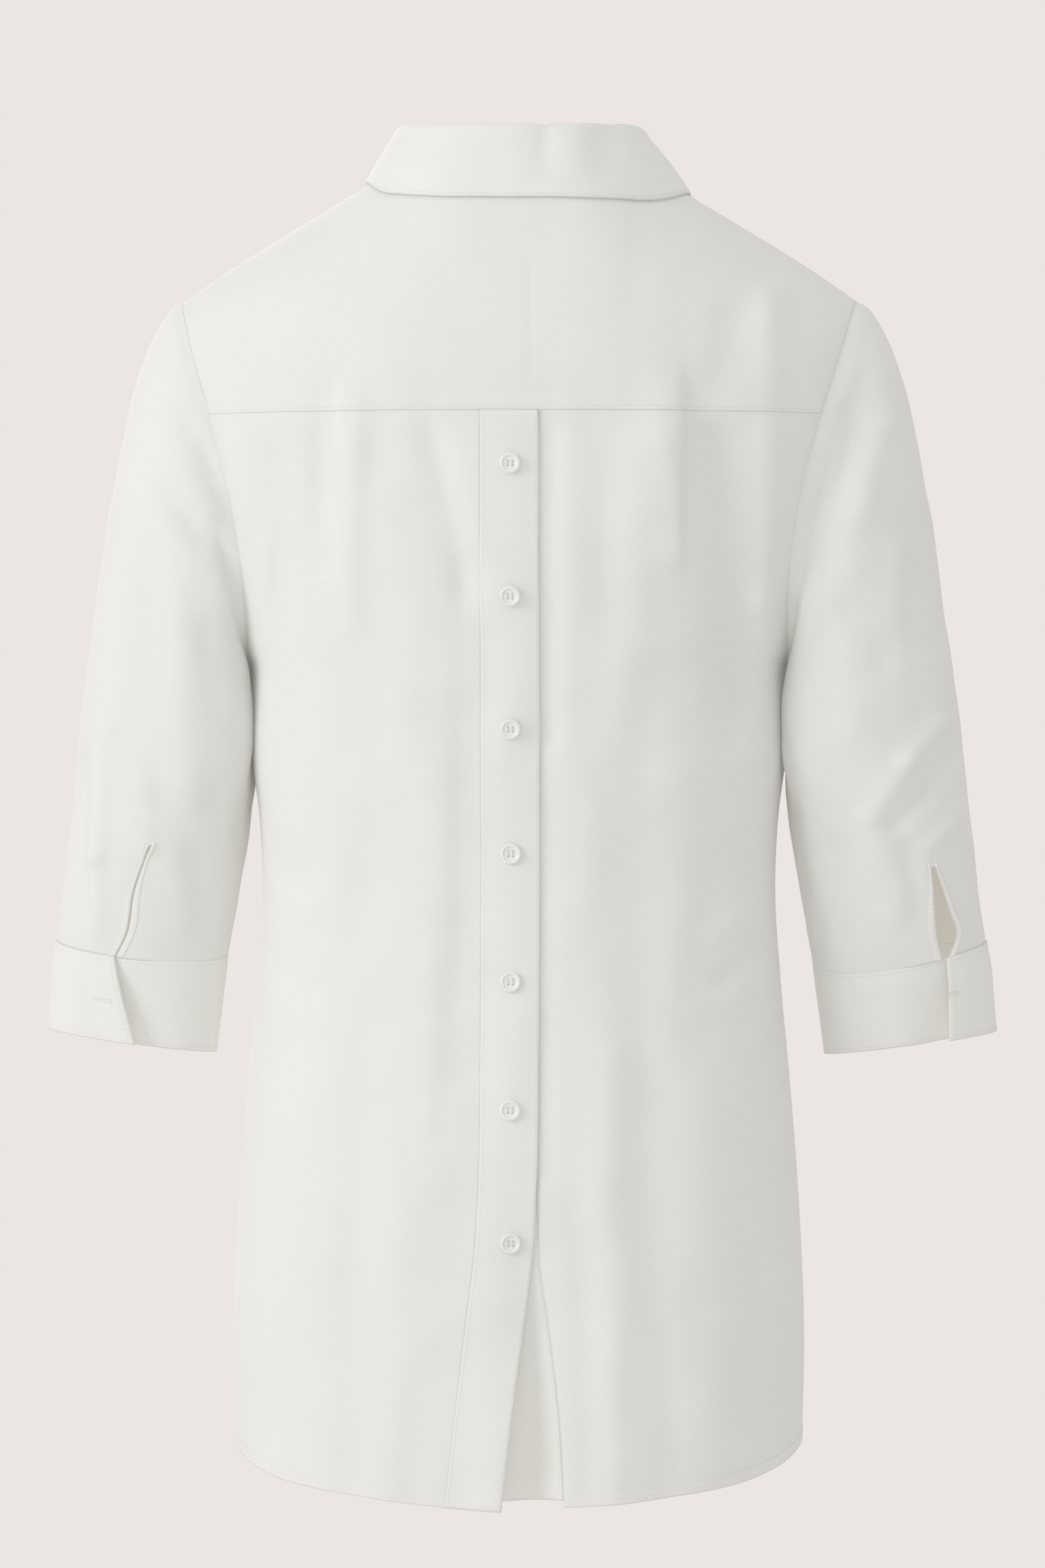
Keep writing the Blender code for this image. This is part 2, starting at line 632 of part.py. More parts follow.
def front_piece(made):
    levels = np.array(
        [-725, -705, -675, -640, -600, -560, -515, -470, -440, -410, -380, -345, -310, -285, -264,
         -246, -222, -196, -168, -146]
    )
    shares = np.array([0, 0.11, 0.23, 0.35, 0.47, 0.58, 0.68, 0.78, 0.87, 0.94, 1.0])
    tops = np.array([0, 20, 38, 53, 65, 74, 90, 112, 138, 165, SHOULDER_TIP])
    rise = np.array([0.0, 0.14, 0.28, 0.42, 0.56, 0.69, 0.81, 0.91, 1.0])
    rows = []
    for level in levels:
        out = float(side_edge(np.array(level)))
        half = spread(SLIT_HALF_FOOT, out, shares, out)
        mix = float(eased((level + 330.0) / 184.0))
        even = SLIT_HALF_FOOT + (out - SLIT_HALF_FOOT) * tops / tops[-1]
        half = half * (1 - mix) + even * mix
        wide = SLIT_HALF_FOOT + (SLIT_HALF_TOP - SLIT_HALF_FOOT) * max(0.0, (level - SLIT_FOOT_Z) / 120.0)
        half = half + (wide - SLIT_HALF_FOOT) * (1 - shares) ** 3
        x = np.concatenate([-half[::-1], half])
        x, z = hung(x, np.full_like(x, level))
        y = wall_depth(x, z, 1) + fold_height(FRONT_FOLDS, x, z) * off_seam(x, z)
        rows.append(np.stack([x, y, z], axis=-1))
    for r in rise:
        wide = SLIT_HALF_FOOT + (SLIT_HALF_TOP - SLIT_HALF_FOOT) * (0.3 + 0.7 * r)
        half = tops + wide * (1 - tops / tops[-1]) ** 3
        half = np.where(tops == NECK_HALF_WIDTH, tops, half)
        x = np.concatenate([-half[::-1], half])
        wall = upper_wall(x, r, 1, FRONT_BASE_Z)
        height = fold_height(FRONT_FOLDS, wall[:, 0], wall[:, 2])
        wall[:, 1] += height * (1 - r) * off_seam(wall[:, 0], wall[:, 2])
        rows.append(wall)
    grid = inset_edges(np.array(rows), 1, True, True)
    grid[-1, :, 1] += SEAM_GAP / 2
    keep = np.ones((grid.shape[0] - 1, grid.shape[1] - 1), bool)
    keep[int(np.searchsorted(levels, SLIT_FOOT_Z)) :, grid.shape[1] // 2 - 1] = False
    return cloth("front_panel", grid, made, keep=keep, square=seam_weight(grid, True, True))


def sleeve_row(ring, name):
    return along(np.arange(len(SLEEVE)), SLEEVE[name], ring)


def sleeve_points(side, ring, turn, foot=0.0):
    """Points round a sleeve: turn 0 outside, a quarter behind, a half inside. Foot 0 to 1 is the cuff."""
    parts = [sleeve_row(ring, name) * (1 - foot) + last * foot
             for name, last in zip(SLEEVE.dtype.names, CUFF_FOOT, strict=True)]
    outer_x, outer_z, inner_x, inner_z, depth, mid_y, bow = parts
    cosine = np.cos(turn)
    x = (outer_x + inner_x) / 2 + (outer_x - inner_x) / 2 * cosine
    z = (outer_z + inner_z) / 2 + (outer_z - inner_z) / 2 * cosine
    seam_x, _, seam_z = armhole_point(turn, -1)
    straight = (SLEEVE["outer_x"][0] + SLEEVE["inner_x"][0]) / 2
    straight = straight + (SLEEVE["outer_x"][0] - SLEEVE["inner_x"][0]) / 2 * cosine
    x = x + bow * (seam_x - straight)
    y = mid_y - depth * np.sin(turn)
    last = len(SLEEVE) - 1
    near_cuff = eased((ring - last + 3.0) / 3.0) * (1 - foot)
    drop = RIGHT_SEAM_DROP if side > 0 else LEFT_SEAM_DROP
    behind = np.clip(np.sin(turn), 0, 1)
    z = z - near_cuff * (CUFF_SAG * behind + drop * (1 - cosine) / 2 * (0.4 + 0.6 * behind))
    folds = RIGHT_FOLDS if side > 0 else LEFT_FOLDS
    height = fold_height(folds, side * x, z) * eased(np.sin(turn) * FOLD_SPREAD)
    mirrored = fold_height(LEFT_FOLDS if side > 0 else RIGHT_FOLDS, -side * x, z)
    height = height + FRONT_FOLD_SHARE * mirrored * eased(-np.sin(turn) * FOLD_SPREAD)
    height = height * eased(ring / CALM_RINGS_TOP) * (1 - foot)
    height = height * (1 - eased((ring - last + CALM_RINGS_FOOT) / CALM_RINGS_FOOT))
    x = x + height * cosine
    y = y - height * np.sin(turn)
    return np.stack([side * x, y, z], axis=-1)


def slit_at(side_name, ring):
    """The slit's middle and half its width, in degrees of turn, at a ring."""
    top = SLIT_RING[side_name]
    share = (ring - top) / (len(SLEEVE) - 1 - top)
    return (
        float(rising(SLIT, "share", side_name + "_turn", share)),
        float(rising(SLIT, "share", side_name + "_half", share)),
    )


def sleeve_piece(side, made):
    side_name = "right" if side > 0 else "left"
    top = SLIT_RING[side_name]
    rings = np.array([0.0, 0.6, 1.3, 2, 2.7, 3.4, 4.1, 4.8, 5.5, 6.2, 6.9, 7.6, 8.3, 9, 9.6, 10.1,
                      top, top + 0.5, top + 1.0, top + 1.5, 12.99])
    spacing = np.array([0, 13, 26, 39, 52, 66, 80, 96, 112, 128, 146, 166, 186, 206, 226, 246, 266,
                        286, 306, 325, 343, 360])
    rows = []
    for ring in rings:
        middle, half = slit_at(side_name, ring)
        turn = middle + half + (360 - 2 * half) * spacing / 360.0
        rows.append(sleeve_points(side, np.full(len(turn), ring), np.radians(turn)))
    grid = np.array(rows)
    low = eased((ARMHOLE_LOW_Z + 60.0 - grid[0, :, 2]) / 60.0)
    grid[0, :, 0] += side * (SEAM_GAP + UNDERARM_CLEAR * low)
    keep = np.ones((grid.shape[0] - 1, grid.shape[1]), bool)
    keep[int(np.searchsorted(rings, top)) :, -1] = False
    square = np.zeros(grid.shape[:2])
    square[0] = 1.0
    square[1] = 0.4
    return cloth(f"sleeve_{side_name}", grid, made, closed=True, keep=keep, square=square)


def binding_piece(side, made):
    side_name = "right" if side > 0 else "left"
    top = SLIT_RING[side_name]
    wide = math.degrees(BINDING_WIDTH / SLEEVE_RADIUS_AT_SLIT)
    rings = np.array([top - BINDING_RISE, top, top + 0.5, top + 1.0, top + 1.5, 12.9])
    rows = []
    for ring in rings:
        middle, half = slit_at(side_name, ring)
        half += BINDING_EDGE_DEG
        edge = half + wide * np.array([0.0, 0.5, 1.0])
        turn = middle + np.concatenate([-edge[::-1], edge])
        rows.append(sleeve_points(side, np.full(len(turn), ring), np.radians(turn)))
    keep = np.ones((len(rings) - 1, 5), bool)
    keep[1:, 2] = False
    hint = np.array([side * 0.3, -1.0, 0.0])
    return cloth(f"slit_binding_{side_name}", np.array(rows), made, thick=BINDING_THICK, keep=keep,
                 hint=hint, lift=LAYER_STEP + BINDING_CLEAR)


def cuff_piece(side, made):
    side_name = "right" if side > 0 else "left"
    head = float(SLIT[side_name + "_turn"][-1])
    travel = np.concatenate([[0, 9, 18], np.linspace(30, 340, 18), [350, 358, 366, 375]])
    travel = np.append(travel, 360 + CUFF_LAP_DEG)
    last = float(len(SLEEVE) - 1)
    rows = []
    for foot in np.array([0.0, 0.25, 0.5, 0.75, 1.0]):
        start = head + (CUFF_LAP_FOOT[side_name] - head) * foot
        turn = np.radians(start - travel)
        points = sleeve_points(side, np.full(len(travel), last), turn, foot)
        over = CUFF_LAP_OUT * (1 - eased((travel - CUFF_LAP_DEG - 4) / CUFF_LAP_FADE_DEG))
        under = CUFF_UNDER_IN * eased((travel - 315) / 45.0)
        under = under * (0.25 + 0.75 * foot)
        push = over + under
        points[:, 0] += side * push * np.cos(turn)
        points[:, 1] -= push * np.sin(turn)
        points[:, 2] -= SEAM_GAP * (1 - foot)
        rows.append(points)
    return cloth(f"cuff_{side_name}", np.array(rows), made, thick=CUFF_THICK)


def neckline(turn_deg):
    """The neck seam at turns from the middle of the back, on the panels' own top edges."""
    turn = np.radians(turn_deg)
    top_x = NECK_HALF_WIDTH * np.sin(turn)
    rear = upper_wall(top_x, 1.0, -1, YOKE_Z)
    fore = upper_wall(top_x, 1.0, 1, FRONT_BASE_Z)
    return np.where((np.cos(turn) > 0)[:, None], rear, fore)


def collar_top(turn_deg):
    """The fold between stand and leaf."""
    turn = np.radians(turn_deg)
    cosine = np.cos(turn)
    x = COLLAR_HALF_WIDTH * np.sin(turn)
    y = np.where(cosine > 0, -COLLAR_BACK * cosine, -COLLAR_FRONT * cosine)
    rear = COLLAR_SIDE_Z + COLLAR_BACK_RISE * cosine**2
    fore = COLLAR_SIDE_Z - COLLAR_FRONT_DROP * np.abs(cosine) ** 1.5
    return np.stack([x, y, np.where(cosine > 0, rear, fore)], axis=-1)


def leaf_edge(turn_deg):
    """The leaf's lower edge, lying on the yoke and the front."""
    size = np.abs(turn_deg)
    x = rising(LEAF_EDGE, "turn", "x", size)
    z = rising(LEAF_EDGE, "turn", "z", size)
    across = np.sin(np.radians(turn_deg))
    left = np.clip(-across, 0.0, 1.0)
    x = x * (1 - (1 - LEAF_LEFT_SHARE) * left)
    z = z + LEAF_LEFT_RISE * left**2
    return np.stack([np.sign(turn_deg) * x, rising(LEAF_EDGE, "turn", "y", size), z], axis=-1)


def collar_turns(step):
    half = np.arange(0, COLLAR_END_DEG, step)
    half = np.append(half, COLLAR_END_DEG)
    return np.concatenate([-half[:0:-1], half])


def collar_pieces(made):
    turns = collar_turns(12.0)
    neck = neckline(turns)
    top = collar_top(turns)
    rows = []
    for share in (0.0, 0.5, 1.0):
        row = neck + (top - neck) * share
        row[:, 2] += STAND_FOOT_LIFT * (1 - share) - STAND_HEAD_DROP * share
        rows.append(row)
    cloth("collar_stand", np.array(rows), made)

    turns = collar_turns(10.0)
    top = collar_top(turns)
    edge = leaf_edge(turns)
    rows = []
    for share in (0.0, 0.05, 0.13, 0.3, 0.5, 0.75, 1.0):
        row = top + (edge - top) * share
        fall = share**LEAF_FALL
        row[:, 2] = top[:, 2] + (edge[:, 2] - top[:, 2]) * fall + LEAF_LIFT
        row[:, 2] += COLLAR_ROLL * math.sin(math.pi * min(1.0, share / 0.26))
        rows.append(row)
    cloth("collar_leaf", np.array(rows), made)


def button_piece(number, level, made):
    """A turned button with a raised rim, four holes and its face away from the cloth."""
    profile = [
        (0.0, 0.0), (4.9, 0.0), (BUTTON_RADIUS, 1.2), (5.3, 2.35), (4.6, BUTTON_THICK), (3.6, 1.6),
        (0.0, 1.5),
    ]
    points = []
    faces = []
    ring = []
    for radius, height in profile:
        if radius == 0.0:
            ring.append([len(points)])
            points.append((0.0, 0.0, height))
            continue
        ring.append(list(range(len(points), len(points) + BUTTON_SIDES)))
        for k in range(BUTTON_SIDES):
            turn = 2 * math.pi * k / BUTTON_SIDES
            points.append((radius * math.cos(turn), radius * math.sin(turn), height))
    for low, high in zip(ring, ring[1:], strict=False):
        for k in range(BUTTON_SIDES):
            after = (k + 1) % BUTTON_SIDES
            if len(low) == 1:
                faces.append((low[0], high[after], high[k]))
            elif len(high) == 1:
                faces.append((low[k], low[after], high[0]))
            else:
                faces.append((low[k], low[after], high[after], high[k]))
    button = put(f"button_{number}", np.array(points) * MM, faces, len(faces), made)
    around = np.array([-BUTTON_RADIUS, 0.0, BUTTON_RADIUS])
    patch = back_points(np.tile(around, (3, 1)), level + around)
    lean_x = (patch[1, 2, 1] - patch[1, 0, 1]) / (2 * BUTTON_RADIUS)
    lean_z = (patch[2, 1, 1] - patch[0, 1, 1]) / (patch[2, 1, 2] - patch[0, 1, 2])
    out = mathutils.Vector((lean_x, -1.0, lean_z)).normalized()
    spots = patch.reshape(-1, 3)
    flat_y = patch[1, 1, 1] + lean_x * spots[:, 0] + lean_z * (spots[:, 2] - patch[1, 1, 2])
    stands_out = float((flat_y - spots[:, 1]).max())
    cutter = holes_cutter(f"button_{number}_holes")
    cut = button.modifiers.new("holes", "BOOLEAN")
    cut.object = cutter
    cut.operation = "DIFFERENCE"
    cut.solver = "EXACT"
    reach = LAYER_STEP + CLOTH_THICK + BUTTON_GAP + stands_out
    place = (mathutils.Vector(tuple(patch[1, 1])) + out * reach) * MM
    for item in (button, cutter):
        item.rotation_mode = "QUATERNION"
        item.rotation_quaternion = out.to_track_quat("Z", "Y")
        item.location = place
    return button


def holes_cutter(name):
    points = []
    faces = []
    sides = 6
    for quarter in range(4):
        turn = math.pi / 4 + quarter * math.pi / 2
        cx = BUTTON_HOLE_OUT * math.cos(turn)
        cy = BUTTON_HOLE_OUT * math.sin(turn)
        first = len(points)
        for height in (-1.0, 4.0):
            for k in range(sides):
                spin = 2 * math.pi * k / sides
                hole_x = cx + BUTTON_HOLE_RADIUS * math.cos(spin)
                hole_y = cy + BUTTON_HOLE_RADIUS * math.sin(spin)
                points.append((hole_x, hole_y, height))
        faces.append(tuple(first + k for k in range(sides))[::-1])
        faces.append(tuple(first + sides + k for k in range(sides)))
        for k in range(sides):
            after = (k + 1) % sides
            faces.append((first + k, first + after, first + sides + after, first + sides + k))
    mesh = bpy.data.meshes.new(name)
    mesh.from_pydata([tuple(c * MM for c in p) for p in points], [], faces)
    cutter = bpy.data.objects.new(name, mesh)
    bpy.context.collection.objects.link(cutter)
    cutter.hide_render = True
    cutter.display_type = "WIRE"
    return cutter


for old in list(bpy.data.objects):
    bpy.data.objects.remove(old)

white_cloth = material("white_cloth", (0.83, 0.82, 0.78), 0.85)
band_cloth = material("band_cloth", (0.84, 0.83, 0.79), 0.8)
button_resin = material("button_resin", (0.88, 0.87, 0.84), 0.3)

yoke_piece(white_cloth)
back_panel(-1, white_cloth)
back_panel(1, white_cloth)
front_piece(white_cloth)

placket_levels = body_rows()
placket_points = strip_points("placket_left", "placket_right", placket_levels, 5)
stand_points = strip_points("stand_left", "stand_right", placket_levels, 5, STAND_HEM_LIFT)
backwards = np.array([0, -1.0, 0])
cloth("button_placket", placket_points, band_cloth, hint=backwards, lift=LAYER_STEP)
cloth("button_stand", stand_points, band_cloth, hint=backwards)

for side in (-1, 1):
    sleeve_piece(side, white_cloth)
    binding_piece(side, band_cloth)
    cuff_piece(side, band_cloth)

collar_pieces(band_cloth)

for number, level in enumerate(BUTTON_LEVELS, start=1):
    button_piece(number, level, button_resin)
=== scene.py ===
import math

import bpy
import mathutils
import mathutils.bvhtree
import numpy as np
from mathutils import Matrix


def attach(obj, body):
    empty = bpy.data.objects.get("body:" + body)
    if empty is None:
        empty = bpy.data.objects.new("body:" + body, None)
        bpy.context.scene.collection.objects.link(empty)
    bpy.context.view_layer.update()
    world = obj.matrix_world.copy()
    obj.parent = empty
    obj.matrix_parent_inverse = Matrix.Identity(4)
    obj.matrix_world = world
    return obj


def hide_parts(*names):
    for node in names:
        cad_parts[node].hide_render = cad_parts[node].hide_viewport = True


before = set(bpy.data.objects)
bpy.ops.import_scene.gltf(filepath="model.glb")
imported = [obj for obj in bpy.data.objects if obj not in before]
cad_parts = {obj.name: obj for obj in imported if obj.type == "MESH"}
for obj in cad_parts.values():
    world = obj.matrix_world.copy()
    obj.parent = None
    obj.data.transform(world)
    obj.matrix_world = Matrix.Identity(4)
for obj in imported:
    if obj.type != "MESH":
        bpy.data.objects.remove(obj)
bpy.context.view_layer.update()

# Studio: the camera stands behind the blouse, a little to the wearer's right, with a long lens.
# The light is soft and comes mostly from the picture's upper left, over a plain pale floor.
MM = 0.001
CAMERA_AZIMUTH = math.radians(2.5)
CAMERA_RISE = math.radians(1.5)
CAMERA_DISTANCE = 3.0
SENSOR_WIDTH = 36.0
VIEW_HEIGHT = 0.8875
AIM = mathutils.Vector((0.002, 0.0, -0.331))


def linked(name, data):
    """A mesh's, camera's or light's object, put in the scene."""
    made = bpy.data.objects.new(name, data)
    bpy.context.collection.objects.link(made)
    return made


camera_data = bpy.data.cameras.new("studio_camera")
camera_data.sensor_width = SENSOR_WIDTH
camera_data.lens = SENSOR_WIDTH * CAMERA_DISTANCE / VIEW_HEIGHT
camera = linked("studio_camera", camera_data)
away = mathutils.Vector((
    math.sin(CAMERA_AZIMUTH) * math.cos(CAMERA_RISE),
    -math.cos(CAMERA_AZIMUTH) * math.cos(CAMERA_RISE),
    math.sin(CAMERA_RISE),
))
camera.location = AIM + away * CAMERA_DISTANCE
camera.rotation_mode = "QUATERNION"
camera.rotation_quaternion = away.to_track_quat("Z", "Y")
bpy.context.scene.camera = camera
bpy.context.scene.view_settings.view_transform = "Standard"

world = bpy.data.worlds.new("studio_air")
world.use_nodes = True
air = world.node_tree
seen = air.nodes["Background"]
seen.inputs["Color"].default_value = (0.83, 0.79, 0.765, 1.0)
cast = air.nodes.new("ShaderNodeBackground")
cast.inputs["Color"].default_value = (1.0, 0.99, 0.972, 1.0)
cast.inputs["Strength"].default_value = 0.70
ray = air.nodes.new("ShaderNodeLightPath")
pick = air.nodes.new("ShaderNodeMixShader")
air.links.new(ray.outputs["Is Camera Ray"], pick.inputs["Fac"])
air.links.new(cast.outputs["Background"], pick.inputs[1])
air.links.new(seen.outputs["Background"], pick.inputs[2])
air.links.new(pick.outputs["Shader"], air.nodes["World Output"].inputs["Surface"])
bpy.context.scene.world = world


def soft_light(name, place, aim, size, watts, color):
    """A large square softbox that faces a point."""
    data = bpy.data.lights.new(name, "AREA")
    data.shape = "SQUARE"
    data.size = size
    data.energy = watts
    data.color = color
    light = linked(name, data)
    light.location = place
    facing = mathutils.Vector(place) - mathutils.Vector(aim)
    light.rotation_mode = "QUATERNION"
    light.rotation_quaternion = facing.to_track_quat("Z", "Y")


soft_light("key_softbox", (-2.5, -1.75, 0.55), (0.0, 0.0, -0.35), 1.4, 26.0, (1.0, 1.0, 0.99))
soft_light("top_softbox", (0.3, -0.6, 2.4), (0.0, 0.0, -0.2), 1.6, 4.0, (1.0, 1.0, 1.0))
soft_light("fill_softbox", (-0.3, -3.6, -0.2), (0.0, 0.0, -0.4), 2.2, 8.0, (1.0, 1.0, 1.0))
soft_light("front_softbox", (-1.0, 3.0, 0.8), (0.0, 0.0, -0.4), 1.2, 34.0, (1.0, 1.0, 0.99))

FLOOR_LEVEL = -1.25
FLOOR_RADIUS = 2.4
FLOOR_SIDES = 96
floor_mesh = bpy.data.meshes.new("studio_floor")
rim = [2 * math.pi * k / FLOOR_SIDES for k in range(FLOOR_SIDES)]
floor_rim = [(FLOOR_RADIUS * math.cos(t), FLOOR_RADIUS * math.sin(t), FLOOR_LEVEL) for t in rim]
floor_mesh.from_pydata(floor_rim, [], [tuple(range(FLOOR_SIDES))])
floor_finish = bpy.data.materials.new("pale_floor")
floor_finish.use_nodes = True
floor_shader = floor_finish.node_tree.nodes["Principled BSDF"]
floor_shader.inputs["Base Color"].default_value = (0.80, 0.765, 0.74, 1.0)
floor_shader.inputs["Roughness"].default_value = 0.9
floor_mesh.materials.append(floor_finish)
floor = linked("studio_floor", floor_mesh)

# The back below the yoke: two halves of off-white plain-weave cotton, shaped at the sides and cut to
# a shirt-tail hem. Both start in a pleat under the yoke seam, a sharp one on the wearer's right.
CLOTH_THICK = 1.2
SEAM_GAP = 0.3
LAYER_STEP = CLOTH_THICK + SEAM_GAP
SHELL_DEPTH = 0.75
SEAM_TUCK = 0.02
HEM_Z = -725.0
HEM_SIDE_LIFT = 15.0
HEM_CORNER_LIFT = 9.0
HEM_LIFT_FROM_Z = -430.0
ARMHOLE_TOP_Z = -60.0
ARMHOLE_LOW_Z = -262.0
ARMHOLE_MID_Z = (ARMHOLE_TOP_Z + ARMHOLE_LOW_Z) / 2
ARMHOLE_HALF_HEIGHT = (ARMHOLE_TOP_Z - ARMHOLE_LOW_Z) / 2
ARMHOLE_HALF_DEPTH = 58.0
YOKE_Z = -124.0
SECTION_POWER = 2.35
EDGE_POWER = 0.85
OPEN_FROM_Z = -335.0
OPEN_BY_Z = -175.0
SIDE_POWER = 9.0
ARMHOLE_BLUR = 1.6
HEM_REACH = 158.0
SEAM_CALM = 14.0
HEM_FOLD = 7.0
HEM_STEP = 0.4
RUMPLE_HIGH = 0.45
RUMPLE_SIZE = 26.0
RUMPLE_WAVES = 22
RUMPLE_SHARE = 5.0
PLEAT_STEP = 3.0
PLEAT_AT_SEAM = 0.45
DENT_HALF_WIDTH = 17.0
FOLD_DRIFT_FROM_Z = -235.0
FOLD_DRIFT_LENGTH = 200.0
FOLD_DRIFT_SHARE = 0.62
HEM_LEVELS = np.linspace(HEM_Z, HEM_Z + 12, 13)


def table(columns, *rows):
    """Rows of numbers under named columns."""
    return np.array(list(rows), dtype=[(column, float) for column in columns.split()])


BODY = table(
    "z half_width back front",
    (-745, 157.8, 117, 112),
    (-700, 159.3, 117, 113),
    (-650, 160.5, 116, 112),
    (-568, 157.5, 112, 108),
    (-500, 152.3, 105, 102),
    (-440, 146.8, 99, 98),
    (-390, 143.8, 96, 97),
    (-350, 145.4, 97, 100),
    (-310, 150.2, 100, 105),
    (-262, 151, 104, 110),
    (-200, 151, 108, 114),
    (-124, 151, 107, 109),
)
ARMHOLE = table(
    "z x",
    (-262, 151),
    (-230, 150.6),
    (-200, 153),
    (-180, 156),
    (-154, 161.5),
    (-125, 169.5),
    (-97, 178.5),
    (-73, 186),
    (-60, 190),
)
OPENING = table(
    "z left_edge placket_left placket_right stand_left stand_right dent",
    (-124, -15, -16.4, 15.2, -14.5, 14.2, 0),
    (-480, -15, -16.4, 15.2, -14.5, 14.2, 0),
    (-540, -15.4, -16.9, 14.7, -14.4, 14.3, 0.5),
    (-583, -17.6, -19, 12.6, -14.2, 15.4, 3),
    (-625, -22.6, -24, 7.4, -13.6, 21, 6.5),
    (-672, -28, -29.4, 1.6, -10.8, 26.8, 9),
    (-725, -34, -35.4, -4.4, -9, 30, 11),
)
PLEATS = table(
    "x side rise rise_width drop drop_width end_z",
    (92.3, 1, 3.2, 26, -5, 24, -228),
    (-93, -1, 2.6, 30, -2.6, 28, -235),
)


def eased(share):
    """0 to 1 with level ends."""
    share = np.clip(share, 0.0, 1.0)
    return share * share * (3.0 - 2.0 * share)


def along(places, values, at):
    """A smooth curve through rising places, straight beyond its ends."""
    places = np.asarray(places, float)
    values = np.asarray(values, float)
    at = np.clip(np.asarray(at, float), places[0], places[-1])
    slope = np.gradient(values, places)
    k = np.clip(np.searchsorted(places, at, side="right") - 1, 0, len(places) - 2)
    run = places[k + 1] - places[k]
    t = (at - places[k]) / run
    return (
        values[k] * (1 + 2 * t) * (1 - t) ** 2
        + slope[k] * run * t * (1 - t) ** 2
        + values[k + 1] * t * t * (3 - 2 * t)
        + slope[k + 1] * run * t * t * (t - 1)
    )


def rising(table, key, value, at):
    """One named column of a table read at some places along another."""
    order = np.argsort(table[key])
    return along(table[key][order], table[value][order], at)


def armhole_point(turn, facing):
    """The armhole seam: turn 0 at the shoulder, half a turn at the underarm."""
    z = ARMHOLE_MID_Z + ARMHOLE_HALF_HEIGHT * np.cos(turn)
    x = rising(ARMHOLE, "z", "x", z)
    return x, facing * ARMHOLE_HALF_DEPTH * np.sin(turn), z


def side_edge(z):
    """Distance out of a panel's side edge at a level."""
    low = rising(BODY, "z", "half_width", z)
    return np.where(z > ARMHOLE_LOW_Z, rising(ARMHOLE, "z", "x", z), low)


def edge_depth(z, share):
    """Depth of the armhole's edge at a level, blurred more the nearer a point is to the middle."""
    cosine = (z - ARMHOLE_MID_Z) / ARMHOLE_HALF_HEIGHT
    inside = 1 - cosine * cosine
    blur = ARMHOLE_BLUR * (1 - share)
    return ARMHOLE_HALF_DEPTH * np.sqrt((inside + np.sqrt(inside * inside + blur * blur)) / 2)


def wall_depth(x, z, facing):
    """Depth of the body's wall below the yoke, at a distance from the middle and a level."""
    out = side_edge(z)
    full = rising(BODY, "z", "back" if facing < 0 else "front", z)
    share = np.clip(np.abs(x) / out, 0.0, 1.0)
    open_share = eased((z - OPEN_FROM_Z) / (OPEN_BY_Z - OPEN_FROM_Z))
    power = 1 / SECTION_POWER + (EDGE_POWER - 1 / SECTION_POWER) * open_share
    side = ARMHOLE_HALF_DEPTH * open_share
    wall = side + (full - side) * (1 - share**SECTION_POWER) ** power
    return facing * (wall + (edge_depth(z, share) - side) * share**SIDE_POWER)


def hem_level(x, level):
    """Levels lifted towards the side seams, most at the hem."""
    share = np.clip((HEM_LIFT_FROM_Z - level) / (HEM_LIFT_FROM_Z - HEM_Z), 0.0, 1.0)
    side = np.clip(np.abs(x) / HEM_REACH, 0.0, 1.0)
    return level + (HEM_SIDE_LIFT * side**1.5 + HEM_CORNER_LIFT * side**12) * share**2


def hung(x, level):
    """Rows of distances and levels with the hem's lift, still ending at the side seams."""
    z = hem_level(x, level)
    scale = side_edge(z) / side_edge(level)
    reach = np.clip(np.abs(x) / side_edge(level), 0.0, 1.0) ** 2
    return x * (1 + (scale - 1) * reach), z


def off_seam(x, z):
    """1 over a panel, falling to 0 at its side seam and armhole."""
    return eased((side_edge(z) - np.abs(x)) / SEAM_CALM)


def pleat_height(x, z):
    """Height of the two pleats below the yoke seam."""
    total = np.zeros_like(x)
    for pleat in PLEATS:
        off = (x - pleat["x"]) * pleat["side"]
        down = (YOKE_Z - z) / (YOKE_Z - pleat["end_z"])
        strength = (PLEAT_AT_SEAM + (1 - PLEAT_AT_SEAM) * eased(down * 4)) * (1 - eased(down))
        raised = pleat["rise"] * np.exp(-((off / pleat["rise_width"]) ** 2))
        sunk = pleat["drop"] * np.exp(-((off / pleat["drop_width"]) ** 2))
        shape = np.where(off <= 0, raised, raised + (sunk - raised) * np.clip(off / PLEAT_STEP, 0, 1))
        total += strength * shape
    return total


def spread(inner, outer, shares, out):
    """Distances from the middle, closer together where the wall turns towards the side."""
    first = np.sign(inner) * np.arcsin(np.clip(np.abs(inner) / out, 0, 1) ** (SECTION_POWER / 2))
    last = np.sign(outer) * np.arcsin(np.clip(np.abs(outer) / out, 0, 1) ** (SECTION_POWER / 2))
    turn = first + (last - first) * shares
    return out * np.sign(turn) * np.abs(np.sin(turn)) ** (2 / SECTION_POWER)


def opening(level, name):
    """A column of the table of edges beside the buttons at some levels."""
    return rising(OPENING, "z", name, level)


